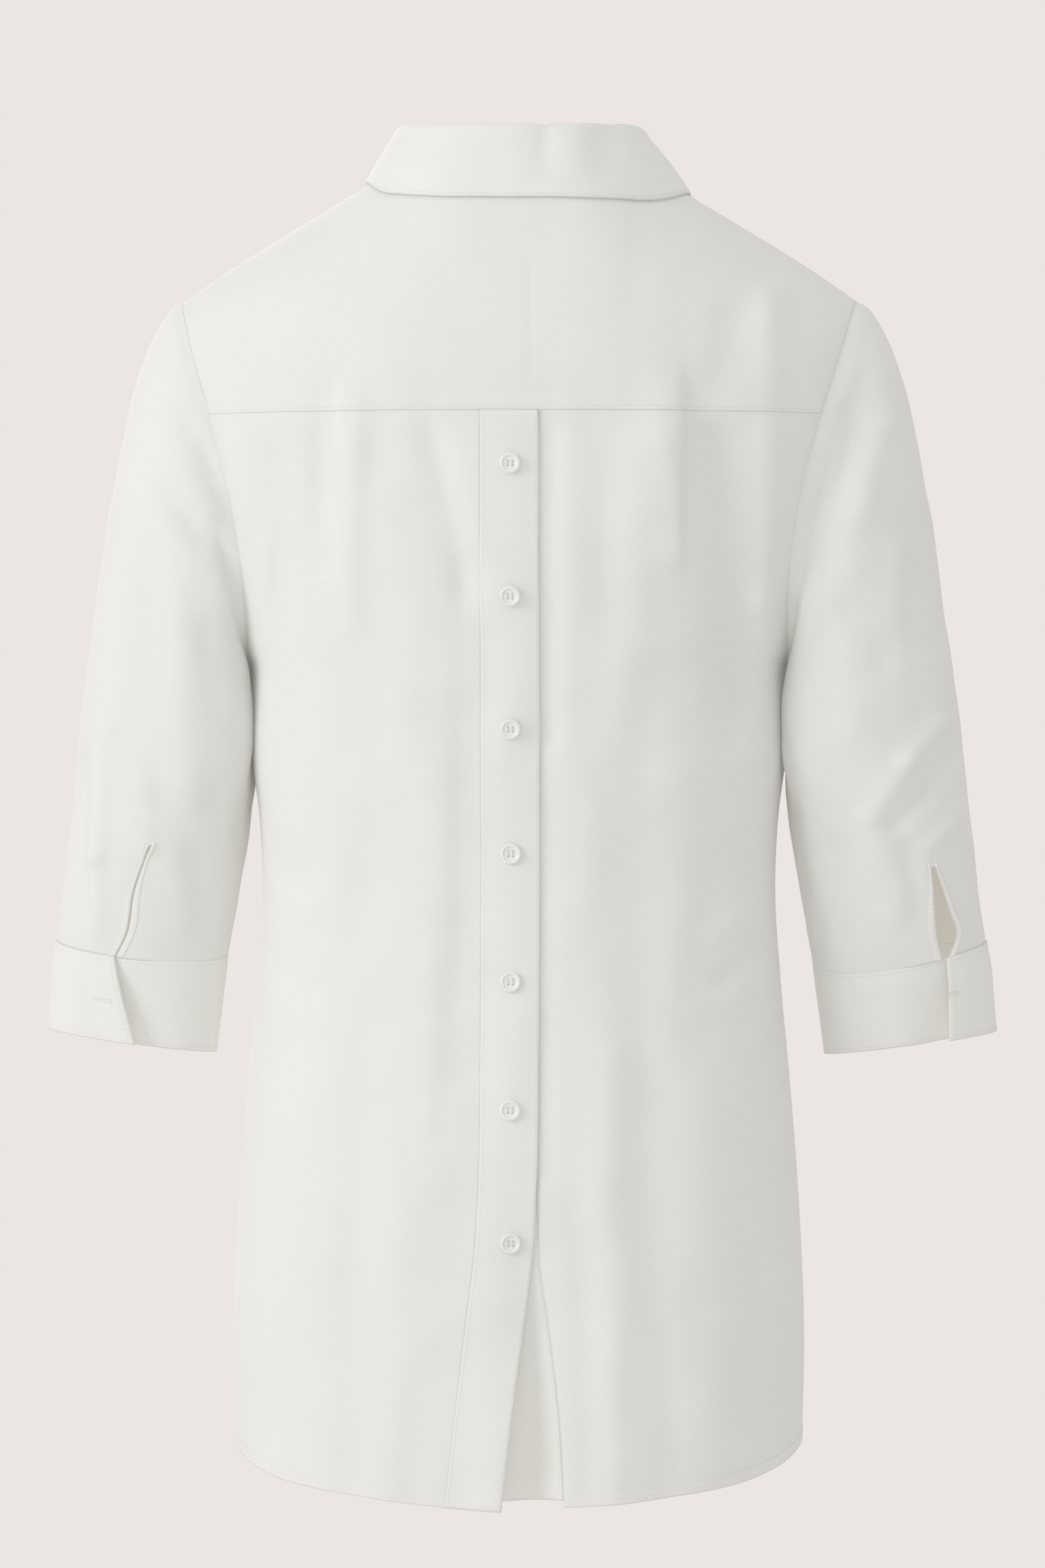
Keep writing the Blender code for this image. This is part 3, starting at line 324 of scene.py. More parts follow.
def crease_height(creases, x, z):
    """Height of a table of creases: each runs along a line and is as wide on each side as it says."""
    total = np.zeros_like(x)
    for c in creases:
        run_x = c["x1"] - c["x0"]
        run_z = c["z1"] - c["z0"]
        length = math.hypot(run_x, run_z)
        t = ((x - c["x0"]) * run_x + (z - c["z0"]) * run_z) / length**2
        near = np.clip(t, 0.0, 1.0)
        bow = c["bend"] * np.sin(math.pi * near)
        mid_x = c["x0"] + near * run_x - bow * run_z / length
        mid_z = c["z0"] + near * run_z + bow * run_x / length
        off = np.hypot(x - mid_x, z - mid_z)
        across = ((x - mid_x) * run_z - (z - mid_z) * run_x) / length
        rightward = 0.5 + 0.5 * across / np.maximum(off, 1e-6)
        wide = c["left"] + (c["right"] - c["left"]) * rightward
        total += c["high"] * np.exp(-((off / wide) ** 2))
    return total


def rumple(x, z, size, seed):
    """Soft unevenness between about -1 and 1: waves of many directions, the shortest a size in mm."""
    rng = np.random.default_rng(seed)
    total = np.zeros_like(x)
    for _ in range(RUMPLE_WAVES):
        lean = rng.normal(0.0, 0.55)
        wave = 2 * math.pi / (size * rng.uniform(1.0, 3.2))
        total += np.sin(wave * (x * math.cos(lean) + z * math.sin(lean)) + rng.uniform(0, 2 * math.pi))
    return total / RUMPLE_SHARE


CREASE = "x0 z0 x1 z1 left right high bend"
BACK_CREASES = table(
    CREASE,
    (143, -112, 140, -228, 8, 11, 4.2, 1),
    (140, -228, 132, -312, 8, 10, 3.4, 1),
    (103, -122, 126, -276, 17, 13, -7.4, 3),
    (120, -262, 128, -340, 14, 12, -1.8, 0),
    (86, -128, 92, -250, 20, 11, 0.9, 0),
    (89.5, -124, 91, -200, 4, 18, 3.4, 0),
    (66, -132, 70, -262, 11, 13, 1.2, 2),
    (45, -128, 52, -230, 10, 12, -1.3, 2),
    (60, -262, 64, -352, 12, 12, 1.3, 0),
    (116, -436, 150, -409, 5, 8, -3.8, 1),
    (112, -413, 150, -391, 8, 7, 2.8, 2),
    (104, -452, 148, -444, 10, 12, 1.8, 2),
    (-112, -442, -150, -418, 10, 8, -2.6, 1),
    (-118, -382, -148, -362, 9, 9, -1.6, 1),
    (-112, -398, -148, -384, 8, 7, 1.8, 1),
    (-86, -126, -88, -240, 8, 9, 2.4, 0),
    (-104, -126, -104, -210, 9, 7, -1.8, 0),
    (-46, -128, -25, -222, 9, 9, -2.9, 2),
    (-25, -214, -27, -486, 14, 8, -1.9, 0),
    (-62, -160, -56, -300, 14, 14, 1.2, 2),
    (21.5, -124, 20.5, -300, 7, 15, -3.2, 0),
    (21, -300, 20.5, -540, 5, 12, -1.4, 0),
    (40, -322, 48, -560, 13, 14, 1.6, 2),
    (68, -300, 76, -610, 14, 13, -1.8, -3),
    (-42, -330, -52, -640, 16, 12, 1.7, 3),
    (-74, -360, -86, -704, 14, 17, -1.9, -4),
    (-62, -520, -66, -724, 10, 12, 1.4, 2),
    (-34, -430, -37, -520, 7, 7, -1.1, 1),
    (-98, -560, -102, -712, 11, 11, 1.2, 2),
    (-134, -480, -142, -690, 9, 8, -1.1, 3),
    (104, -500, 112, -704, 17, 16, 2, 4),
    (135, -566, 138, -702, 6, 9, -1.6, 2),
    (-118, -520, -124, -708, 16, 14, 1.6, 3),
    (58, -480, 60, -722, 13, 11, 2.2, -2),
    (37, -560, 42, -722, 10, 9, -1.9, 1),
    (84, -630, 87, -722, 10, 9, -1.5, 1),
    (92, -330, 84, -470, 12, 14, 1, 3),
    (110, -330, 106, -470, 10, 11, -1, 3),
    (-100, -200, -110, -350, 12, 14, 1.4, 2),
    (-127, -150, -132, -262, 9, 11, -2.2, 2),
    (-138, -200, -139, -300, 6, 7, 1.8, 0),
)


def face_normals(grid, closed, hint=None):
    """Unit normals of a grid that face away from its middle or along a hint, and if they kept its turn."""
    across = np.roll(grid, -1, axis=1) - np.roll(grid, 1, axis=1) if closed else np.gradient(grid, axis=1)
    n = np.cross(np.gradient(grid, axis=0), across)
    n /= np.maximum(np.linalg.norm(n, axis=2, keepdims=True), 1e-9)
    away_from = grid - grid.mean(axis=(0, 1)) if hint is None else np.broadcast_to(hint, grid.shape)
    kept = (n * away_from).sum() > 0
    return (n if kept else -n), kept


def flat_size(grid, closed, keep=None):
    """Width, length and area of the cut that makes a grid of points, in metres."""
    ring = np.concatenate([grid, grid[:, :1]], axis=1) if closed else grid
    across = np.linalg.norm(np.diff(ring, axis=1), axis=2)
    down = np.linalg.norm(np.diff(ring, axis=0), axis=2)
    cell = np.linalg.norm(np.cross(np.diff(ring, axis=1)[:-1], np.diff(ring, axis=0)[:, :-1]), axis=2)
    area = float((cell if keep is None else cell * keep).sum()) * 1e-6
    width = float(across.sum(axis=1).max()) * MM
    length = float(down.sum(axis=0).max()) * MM
    return width, length, min(area, width * length)


cloth_faces = {}


def sew_shell(name, grid, finish, closed=False, keep=None, hint=None, lift=0.0, thick=CLOTH_THICK,
              square=None, proud=0.0):
    """A thin double-faced shell of cloth, its outer face a piece's own. UVs are in metres of cloth."""
    n, kept = face_normals(grid, closed, hint)
    if square is not None:
        n[..., 0] *= 1 - square
        n /= np.linalg.norm(n, axis=2, keepdims=True)
    outer = grid + n * (lift + thick + np.asarray(proud, float)[..., None])
    cloth_faces[name] = (outer, n)
    inner = grid + n * (lift + thick - SHELL_DEPTH)
    rows, columns = grid.shape[:2]
    if keep is None:
        keep = np.ones((rows - 1, columns if closed else columns - 1), bool)
    ring = np.concatenate([grid, grid[:, :1]], axis=1) if closed else grid
    step_u = np.linalg.norm(np.diff(ring, axis=1), axis=2).mean(axis=0)
    step_v = np.linalg.norm(np.diff(ring, axis=0), axis=2).mean(axis=1)
    u = np.concatenate([[0.0], np.cumsum(step_u)]) * MM
    v = np.concatenate([[0.0], np.cumsum(step_v)]) * MM
    cell_row, cell_column = np.nonzero(keep)
    r = cell_row[:, None] + [0, 1, 1, 0]
    c = cell_column[:, None] + [0, 0, 1, 1]
    corner = r * columns + c % columns
    uv = np.stack([u[c], v[r]], axis=2)
    if not kept:
        corner = corner[:, ::-1]
        uv = uv[:, ::-1]
    size = rows * columns
    start, end = corner.reshape(-1), np.roll(corner, -1, axis=1).reshape(-1)
    start_uv, end_uv = uv.reshape(-1, 2), np.roll(uv, -1, axis=1).reshape(-1, 2)
    rim = ~np.isin(start * size + end, end * size + start)
    walls = np.stack([end, end + size, start + size, start], axis=1)[rim]
    wall_uv = np.stack([end_uv, end_uv, start_uv, start_uv], axis=1)[rim]
    faces = np.concatenate([corner + size, corner[:, ::-1], walls])
    loops_uv = np.concatenate([uv, uv[:, ::-1], wall_uv]).reshape(-1, 2)
    points = np.concatenate([inner.reshape(-1, 3), outer.reshape(-1, 3)]) * MM
    used, faces = np.unique(faces, return_inverse=True)
    faces = faces.reshape(-1, 4)
    mesh = bpy.data.meshes.new(name)
    mesh.vertices.add(len(used))
    mesh.vertices.foreach_set("co", points[used].reshape(-1))
    mesh.loops.add(faces.size)
    mesh.loops.foreach_set("vertex_index", faces.reshape(-1))
    mesh.polygons.add(len(faces))
    mesh.polygons.foreach_set("loop_start", np.arange(0, faces.size, 4))
    part = np.repeat([0, 1, 2], [len(corner), len(corner), len(walls)])
    mesh.polygons.foreach_set("use_smooth", part < 2)
    mesh.uv_layers.new(name="cloth").data.foreach_set("uv", loops_uv.reshape(-1))
    mesh.update(calc_edges=True)
    mesh.validate()
    mesh.materials.append(finish)
    # The inner faces take the copy of the cotton with the stronger painted glow.
    mesh.materials.append(cotton_inside_painted_glow)
    mesh.polygons.foreach_set("material_index", (part == 1).astype(np.int32))
    return linked(name, mesh)


def node_link(tree, start, output, end, socket):
    """A link from one node's named output to another's named input."""
    tree.links.new(start.outputs[output], end.inputs[socket])


def plain_weave_group():
    """Plain weave: threads over and under, slubs in them and soft wear, as a height and a tone."""
    group = bpy.data.node_groups.new("plain_weave", "ShaderNodeTree")
    face = group.interface
    for socket, usual in (("Threads per metre", 3000.0), ("Slub size", 140.0), ("Tone spread", 0.05)):
        face.new_socket(socket, in_out="INPUT", socket_type="NodeSocketFloat").default_value = usual
    for socket in ("Height", "Tone"):
        face.new_socket(socket, in_out="OUTPUT", socket_type="NodeSocketFloat")
    given = group.nodes.new("NodeGroupInput")
    result = group.nodes.new("NodeGroupOutput")
    place = group.nodes.new("ShaderNodeUVMap")
    split = group.nodes.new("ShaderNodeSeparateXYZ")
    node_link(group, place, "UV", split, "Vector")

    def math_node(kind, first, second=None):
        made = group.nodes.new("ShaderNodeMath")
        made.operation = kind
        for socket, value in zip(made.inputs, (first, second), strict=False):
            if value is None:
                continue
            if isinstance(value, (int, float)):
                socket.default_value = value
            else:
                group.links.new(value, socket)
        return made.outputs[0]

    waves = []
    for way in ("X", "Y"):
        count = math_node("MULTIPLY", split.outputs[way], given.outputs["Threads per metre"])
        waves.append(math_node("SINE", math_node("MULTIPLY", count, math.pi)))
    over = math_node("MULTIPLY", *waves)
    slubs = []
    for scale in ((1.0, 6.0, 1.0), (6.0, 1.0, 1.0)):
        stretch = group.nodes.new("ShaderNodeMapping")
        stretch.inputs["Scale"].default_value = scale
        node_link(group, place, "UV", stretch, "Vector")
        slub = group.nodes.new("ShaderNodeTexNoise")
        slub.inputs["Detail"].default_value = 3.0
        node_link(group, stretch, "Vector", slub, "Vector")
        node_link(group, given, "Slub size", slub, "Scale")
        slubs.append(slub.outputs["Fac"])
    both = math_node("ADD", *slubs)
    height = math_node("ADD", math_node("MULTIPLY", over, 0.5), math_node("MULTIPLY", both, 0.9))
    group.links.new(height, result.inputs["Height"])
    cloud = group.nodes.new("ShaderNodeTexNoise")
    cloud.inputs["Scale"].default_value = 14.0
    cloud.inputs["Detail"].default_value = 2.0
    node_link(group, place, "UV", cloud, "Vector")
    threads = math_node("MULTIPLY", both, 0.35)
    wear = math_node("MULTIPLY", cloud.outputs["Fac"], 0.65)
    centred = math_node("SUBTRACT", math_node("ADD", threads, wear), 0.67)
    tone = math_node("ADD", math_node("MULTIPLY", centred, given.outputs["Tone spread"]), 1.0)
    group.links.new(tone, result.inputs["Tone"])
    return group


weave = plain_weave_group()
WEAVE_RELIEF = 0.12
# Strengths of a painted glow in the cotton, which stands in for light showing through the thin cloth. The
# inner faces glow more, as painted light inside the blouse.
PAINTED_GLOW_THROUGH = 0.045
PAINTED_GLOW_INSIDE = 0.13


def cotton(name, color, tone_spread, roughness, sheen, painted_glow):
    """Off-white cotton: its colour, relief, faint sheen and a warm painted glow that stands in for the light
    showing through the thin cloth.
    """
    finish = bpy.data.materials.new(name)
    finish.use_nodes = True
    tree = finish.node_tree
    shader = tree.nodes["Principled BSDF"]
    threads = tree.nodes.new("ShaderNodeGroup")
    threads.node_tree = weave
    threads.inputs["Threads per metre"].default_value = 2600.0
    threads.inputs["Slub size"].default_value = 420.0
    threads.inputs["Tone spread"].default_value = tone_spread
    shade = tree.nodes.new("ShaderNodeVectorMath")
    shade.operation = "SCALE"
    shade.inputs[0].default_value = color
    node_link(tree, threads, "Tone", shade, "Scale")
    node_link(tree, shade, "Vector", shader, "Base Color")
    relief = tree.nodes.new("ShaderNodeBump")
    relief.inputs["Strength"].default_value = 0.55
    relief.inputs["Distance"].default_value = WEAVE_RELIEF * MM
    node_link(tree, threads, "Height", relief, "Height")
    node_link(tree, relief, "Normal", shader, "Normal")
    shader.inputs["Roughness"].default_value = roughness
    shader.inputs["Specular IOR Level"].default_value = 0.25
    shader.inputs["Sheen Weight"].default_value = sheen
    shader.inputs["Sheen Roughness"].default_value = 0.5
    # Painted light: the cloth glows warm by itself, which lifts and warms its shade the way light through
    # thin cloth would.
    shader.inputs["Emission Color"].default_value = (1.0, 0.96, 0.87, 1.0)
    shader.inputs["Emission Strength"].default_value = painted_glow
    return finish


# Two copies of one cotton. The inner faces' copy is a little warmer and has a stronger painted glow, as
# painted light inside the blouse. The outer faces' copy has the faint painted glow of light through the
# cloth.
cotton_inside_painted_glow = cotton("cotton_inside_painted_glow", (0.80, 0.79, 0.76), 0.10, 0.9, 0.05, PAINTED_GLOW_INSIDE)
blouse_cotton = cotton("blouse_cotton", (0.80, 0.80, 0.782), 0.10, 0.88, 0.12, PAINTED_GLOW_THROUGH)


def back_folds(x, z):
    """How far the back stands out from its plain form: its pleats, creases and unevenness."""
    folds = crease_height(BACK_CREASES, x, z) * (0.4 + 0.6 * eased((YOKE_Z - z) / 16))
    return (pleat_height(x, z) + folds + RUMPLE_HIGH * rumple(x, z, RUMPLE_SIZE, 3)) * off_seam(x, z)


def back_wall(x_rows, levels, lift_hem=0.0):
    """Points of the back below the yoke at rows of distances from the middle."""
    level = np.repeat(levels[:, None], x_rows.shape[1], axis=1)
    x_rows, z = hung(x_rows, level)
    low = np.clip((HEM_LIFT_FROM_Z - level) / (HEM_LIFT_FROM_Z - HEM_Z), 0, 1)
    z = z + lift_hem * low**6
    y = wall_depth(x_rows, z, -1)
    y = y - back_folds(x_rows, z)
    mid = (opening(level, "placket_right") + opening(level, "stand_right")) / 2
    y = y + opening(level, "dent") * np.exp(-(((x_rows - mid) / DENT_HALF_WIDTH) ** 2))
    return np.stack([x_rows, y, z], axis=-1)


def seam_sides(grid, facing, first, last):
    """Outer columns drawn in by a seam."""
    for column, ends in ((0, first), (-1, last)):
        if ends:
            grid[:, column, 0] -= np.sign(grid[:, column, 0]) * SEAM_TUCK
            grid[:, column, 1] += facing * SEAM_TUCK
    return grid


def seam_weight(grid, first, last):
    """1 at a panel's armhole edge, where its rim stands square to the sleeve's."""
    weight = np.zeros(grid.shape[:2])
    above = eased((grid[..., 2] - ARMHOLE_LOW_Z - 10.0) / 20.0)
    for edge, beside, ends in ((0, 1, first), (-1, -2, last)):
        if ends:
            weight[:, edge] = above[:, edge]
            weight[:, beside] = above[:, beside] / 2
    return weight


def hem_band(z):
    """A folded hem stands a little proud, with a dip along its stitching."""
    past = z - z[:1] - HEM_FOLD
    return HEM_STEP * (1 - eased((past + 0.6) / 1.2)) - 0.25 * np.exp(-((past / 0.9) ** 2))


def back_half(side):
    """Half of the back, side 1 on the wearer's right and -1 on the left."""
    levels = np.concatenate([HEM_LEVELS[:-1], np.linspace(HEM_LEVELS[-1], YOKE_Z + 1.0, 240)])
    near = np.linspace(0, 1, 44)[:-1] ** 0.9
    far = np.linspace(0, 1, 76) ** 1.25
    fold_x = PLEATS["x"][0] if side > 0 else PLEATS["x"][1]
    rows = []
    for level in levels:
        out = float(side_edge(np.array(level)))
        edge = float(opening(level, "stand_right") if side > 0 else opening(level, "left_edge"))
        drift = float(eased((FOLD_DRIFT_FROM_Z - level) / FOLD_DRIFT_LENGTH))
        fold = fold_x * (1 - drift) + side * out * FOLD_DRIFT_SHARE * drift
        rows.append(np.concatenate([edge + (fold - edge) * near, spread(fold, side * out, far, out)]))
    grid = seam_sides(back_wall(np.array(rows), levels), -1, False, True)
    proud = hem_band(grid[..., 2])
    name = "back_cloth_right" if side > 0 else "back_cloth_left"
    piece = sew_shell(name, grid, blouse_cotton, square=seam_weight(grid, False, True), proud=proud)
    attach(piece, "root")
    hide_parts("back_panel_right" if side > 0 else "back_panel_left")


back_half(-1)
back_half(1)

# The yoke: one piece of the same cotton across the shoulders, from the collar and shoulder seams down
# to a straight seam, where it is turned under and topstitched.
NECK_HALF_WIDTH = 74.0
NECK_BACK = 62.0
NECK_FRONT = 82.0
SHOULDER_TIP = 190.0
SHOULDER_PULL_FROM = 90.0
YOKE_HEIGHT = 150.0
ARCH = math.radians(82)
FRONT_BASE_Z = -128.0
RIDGE = table(
    "x back front",
    (0, 40, 10),
    (40, 34, 12),
    (74, 13.5, 13.5),
    (97, -1, -1),
    (126, -18.5, -18.5),
    (160, -39.5, -39.5),
    (190, -60, -60),
)
SEAM_SHARED = 26.0
YOKE_CREASES = table(
    CREASE,
    (141, -62, 143, -112, 8, 10, 3, 0),
    (150, -54, 141, -70, 9, 9, 1.6, 0),
    (118, -74, 110, -124, 14, 10, -2.6, 2),
    (-140, -84, -132, -122, 10, 10, -1.2, 0),
    (10, -46, 11, -124, 2.4, 2.4, -0.4, 0),
    (-60, -40, -56, -110, 16, 16, 0.8, 0),
    (96, -60, 98, -120, 12, 12, -0.9, 0),
)


def neck_half(x, deepest):
    """Half of the neck opening's depth at a distance from the middle."""
    return deepest * np.sqrt(np.clip(1 - (x / NECK_HALF_WIDTH) ** 2, 0.0, 1.0))


def upper_wall(top_x, rise, facing, base_z):
    """The wall from a level up over the shoulder, cut off at the neckline."""
    edge_out = float(side_edge(np.array(base_z)))
    base_x = top_x * edge_out / SHOULDER_TIP
    base_y = np.abs(wall_depth(base_x, np.full_like(base_x, base_z), facing))
    ridge = rising(RIDGE, "x", "back" if facing < 0 else "front", np.abs(top_x))
    left_over = neck_half(top_x, NECK_BACK if facing < 0 else NECK_FRONT)
    cut = np.arccos(1 - (1 - math.cos(ARCH)) * (base_y - left_over) / base_y)
    turn = cut * rise
    y = base_y * (1 - (1 - np.cos(turn)) / (1 - math.cos(ARCH)))
    up = np.sin(turn) / math.sin(ARCH)
    z = base_z + (ridge - base_z) * up
    x = base_x + (top_x - base_x) * up
    foot_turn = math.acos((base_z - ARMHOLE_MID_Z) / ARMHOLE_HALF_HEIGHT)
    seam_x, seam_y, seam_z = armhole_point(foot_turn * (1 - rise), facing)
    edge_y = float(np.abs(wall_depth(np.array([edge_out]), np.array([base_z]), facing))[0])
    edge_up = math.sin(ARCH * rise) / math.sin(ARCH)
    arc_x = edge_out + (SHOULDER_TIP - edge_out) * edge_up
    arc_y = edge_y * (1 - (1 - math.cos(ARCH * rise)) / (1 - math.cos(ARCH)))
    arc_z = base_z + (ARMHOLE_TOP_Z - base_z) * edge_up
    pulled = (np.abs(top_x) - SHOULDER_PULL_FROM) / (SHOULDER_TIP - SHOULDER_PULL_FROM)
    pull = np.clip(pulled, 0.0, 1.0) ** 2
    x = x + np.sign(top_x) * (seam_x - arc_x) * pull
    y = y + (abs(seam_y) - arc_y) * pull
    return np.stack([x, facing * y, z + (seam_z - arc_z) * pull], axis=-1)


def out_to_tip(to_neck, past_neck):
    """Distances from the middle to the shoulder's tip, with one at the end of the neckline."""
    near = np.linspace(0, NECK_HALF_WIDTH, to_neck)
    return np.concatenate([near[:-1], np.linspace(NECK_HALF_WIDTH, SHOULDER_TIP, past_neck)])


def yoke_wall():
    """Points of the yoke, and how proud of them its turned and stitched edge stands."""
    tops = out_to_tip(38, 52)
    tops = np.concatenate([-tops[:0:-1], tops])
    edge_rises = np.array([0.0, 0.5, 1.0, 1.6, 2.2]) / YOKE_HEIGHT
    rises = np.concatenate([edge_rises, np.linspace(3.5 / YOKE_HEIGHT, 1, 56)])
    grid = np.array([upper_wall(tops, rise, -1, YOKE_Z) for rise in rises])
    ends = np.pad(grid, ((0, 0), (4, 4), (0, 0)), mode="reflect", reflect_type="odd")
    softened = sum(ends[:, k : k + len(tops)] for k in range(9)) / 9
    rises = rises[:, None]
    clear_of_edges = eased((1 - rises) / 0.15) * eased((SHOULDER_TIP - np.abs(tops)) / 20)
    grid = grid + (softened - grid) * clear_of_edges[..., None]
    x, z = grid[..., 0], grid[..., 2]
    height = crease_height(YOKE_CREASES, x, z) + 0.25 * rumple(x, z, 30.0, 7)
    height *= off_seam(x, z) * (1 - eased((rises - 0.8) / 0.2))
    above = rises * YOKE_HEIGHT
    own_share = eased(above / SEAM_SHARED)
    grid[..., 1] -= height * own_share
    grid[..., 1] -= back_folds(x, np.full(x.shape, YOKE_Z)) * (1 - own_share)
    proud = 0.62 * (1 - eased((above - 2.0) / 8.0)) - 0.2 * np.exp(-(((above - 1.6) / 0.7) ** 2))
    return seam_sides(grid, -1, True, True), np.repeat(proud, x.shape[1], axis=1)


yoke_grid, yoke_proud = yoke_wall()
yoke_square = seam_weight(yoke_grid, True, True)
yoke = sew_shell("yoke_cloth", yoke_grid, blouse_cotton, square=yoke_square, proud=yoke_proud)
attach(yoke, "root")
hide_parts("back_yoke")

# The front, which the photograph hides: one plain piece of the same cotton with a short slit at the
# neck, joined to the yoke along the shoulders and to the back down the sides.
SLIT_FOOT_Z = -168.0
SLIT_HALF_TOP = 5.0
SLIT_HALF_FOOT = 0.8
FRONT_ROWS_TOP_Z = -134.0
FRONT_EVEN_FROM_Z = -330.0
FRONT_EVEN_LENGTH = 184.0
FRONT_CREASES = table(
    CREASE,
    (-120, -150, -112, -262, 12, 12, -2.4, 2),
    (122, -140, 110, -250, 12, 12, -2.6, 2),
    (-60, -240, -46, -520, 16, 15, 2.8, 4),
    (58, -260, 50, -560, 15, 15, 2.4, 4),
    (-96, -430, -104, -700, 17, 16, -3, 4),
    (98, -450, 112, -690, 17, 17, -2.6, 4),
    (14, -480, 22, -720, 15, 14, 2.4, 2),
    (-148, -395, -116, -425, 8, 8, -2.6, 2),
    (146, -380, 120, -402, 9, 8, -1.8, 2),
    (-20, -300, -26, -480, 14, 14, -1.4, 2),
    (84, -180, 78, -330, 12, 14, 1.6, 2),
    (-88, -170, -84, -300, 13, 12, 1.6, 2),
)


def front_folds(x, z):
    """How far the front stands out from its plain form."""
    folds = crease_height(FRONT_CREASES, x, z) + RUMPLE_HIGH * rumple(x, z, RUMPLE_SIZE, 5)
    return folds * off_seam(x, z)


def front_wall():
    """Points of the front, and which of its cells the slit leaves."""
    levels = np.concatenate([HEM_LEVELS[:-1], np.linspace(HEM_LEVELS[-1], FRONT_ROWS_TOP_Z, 190)])
    shares = 1 - (1 - np.linspace(0, 1, 70)) ** 1.15
    top = out_to_tip(30, 41)
    slit_more = SLIT_HALF_TOP - SLIT_HALF_FOOT
    rows = []
    for level in levels:
        out = float(side_edge(np.array(level)))
        half = spread(SLIT_HALF_FOOT, out, shares, out)
        mix = float(eased((level - FRONT_EVEN_FROM_Z) / FRONT_EVEN_LENGTH))
        half = half * (1 - mix) + (SLIT_HALF_FOOT + (out - SLIT_HALF_FOOT) * top / top[-1]) * mix
        half = half + slit_more * max(0.0, (level - SLIT_FOOT_Z) / 120.0) * (1 - half / out) ** 3
        x = np.concatenate([-half[::-1], half])
        x, z = hung(x, np.full_like(x, level))
        rows.append(np.stack([x, wall_depth(x, z, 1) + front_folds(x, z), z], axis=-1))
    for rise in np.linspace(0.0, 1.0, 60):
        wide = SLIT_HALF_FOOT + slit_more * (0.3 + 0.7 * rise)
        half = np.where(top == NECK_HALF_WIDTH, top, top + wide * (1 - top / top[-1]) ** 3)
        wall = upper_wall(np.concatenate([-half[::-1], half]), rise, 1, FRONT_BASE_Z)
        wall[:, 1] += front_folds(wall[:, 0], wall[:, 2]) * (1 - rise)
        rows.append(wall)
    keep = np.ones((len(rows) - 1, 2 * len(top) - 1), bool)
    keep[int(np.searchsorted(levels, SLIT_FOOT_Z)):, len(top) - 1] = False
    return seam_sides(np.array(rows), 1, True, True), keep


front_grid, front_keep = front_wall()
front_square = seam_weight(front_grid, True, True)
front_proud = hem_band(front_grid[..., 2])
front = sew_shell(
    "front_cloth", front_grid, blouse_cotton, keep=front_keep, square=front_square, proud=front_proud
)
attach(front, "root")
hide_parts("front_panel")

# The sleeves: long tubes of the same cotton set into the armholes, hanging straight, each with a bound
# slit above the cuff. Their creases start at the armhole and gather at the elbow.
SLEEVE = table(
    "outer_x outer_z inner_x inner_z depth mid_y bow",
    (190, -60, 151, -262, 58, 0, 1),
    (197.5, -65.5, 154, -267, 60, 0, 0.85),
    (207.3, -82.5, 154.2, -272, 61.5, 0, 0.62),
    (216.3, -107.5, 154.2, -277, 61.5, 0, 0.45),
    (223.8, -141, 153.9, -283, 60, 0, 0.3),
    (230.3, -175, 153.7, -291, 57.5, 0, 0.2),
    (235.3, -208, 153.4, -302, 55, -1, 0.1),
    (240.3, -244, 153, -315, 52.5, -2, 0),
    (245.8, -284, 152.2, -332, 50, -2, 0),
    (249.8, -317, 153.8, -349, 47, -1, 0),
    (253, -346, 156.2, -367, 44, 1, 0),
    (256.3, -374, 159.7, -387, 40.5, 3, 0),
    (259.8, -400, 163.7, -408, 36, 5, 0),
    (262.8, -420, 167.4, -428, 31.5, 7, 0),
)
CUFF_FOOT = (267.4, -470.5, 174.4, -483.5, 27.0, 9.0, 0.0)
UNDERARM_CLEAR = 2.8
CUFF_SAG = 5.0
RIGHT_SEAM_DROP = 9.0
LEFT_SEAM_DROP = 1.0
SLIT_RING = {"left": 10.3, "right": 10.9}
SLIT = table(
    "share left_turn left_half right_turn right_half",
    (0, 91, 0.9, 59.5, 0.9),
    (0.4, 83.5, 1.1, 56.5, 3.4),
    (0.7, 82.5, 1.2, 54.5, 5.2),
    (1, 76, 0.9, 58.5, 1.6),
)
SLEEVE_CREASES = {}
SLEEVE_CREASES[1] = table(
    CREASE,
    (204, -84, 206, -127, 9, 9, 2, 0),
    (206, -127, 193, -176, 9, 8, 1.5, -3),
    (193, -176, 178, -212, 10, 9, 1, 0),
    (192, -132, 170, -204, 10, 20, -5, -3),
    (180, -160, 160, -184, 6, 7, -1.8, 0),
    (193, -104, 186, -150, 7, 7, -1.8, 0),
    (236, -296, 218, -318, 5, 6, 2.6, 0),
    (218, -318, 200, -346, 6, 7, 2.6, 0),
    (246, -312, 212, -352, 6, 7, -2.6, 2),
    (254, -343, 232, -363, 5, 5, 2.4, 0),
    (226, -190, 208, -262, 10, 10, -2.4, 3),
    (214, -200, 212, -262, 8, 8, 2, 0),
    (232, -262, 236, -296, 6, 7, 2, 0),
    (178, -230, 186, -300, 10, 10, 2, 3),
    (196, -352, 212, -402, 9, 9, 1.8, 3),
    (180, -366, 186, -412, 8, 8, -1.8, 2),
    (218, -366, 224, -400, 6, 6, -1.6, 0),
)
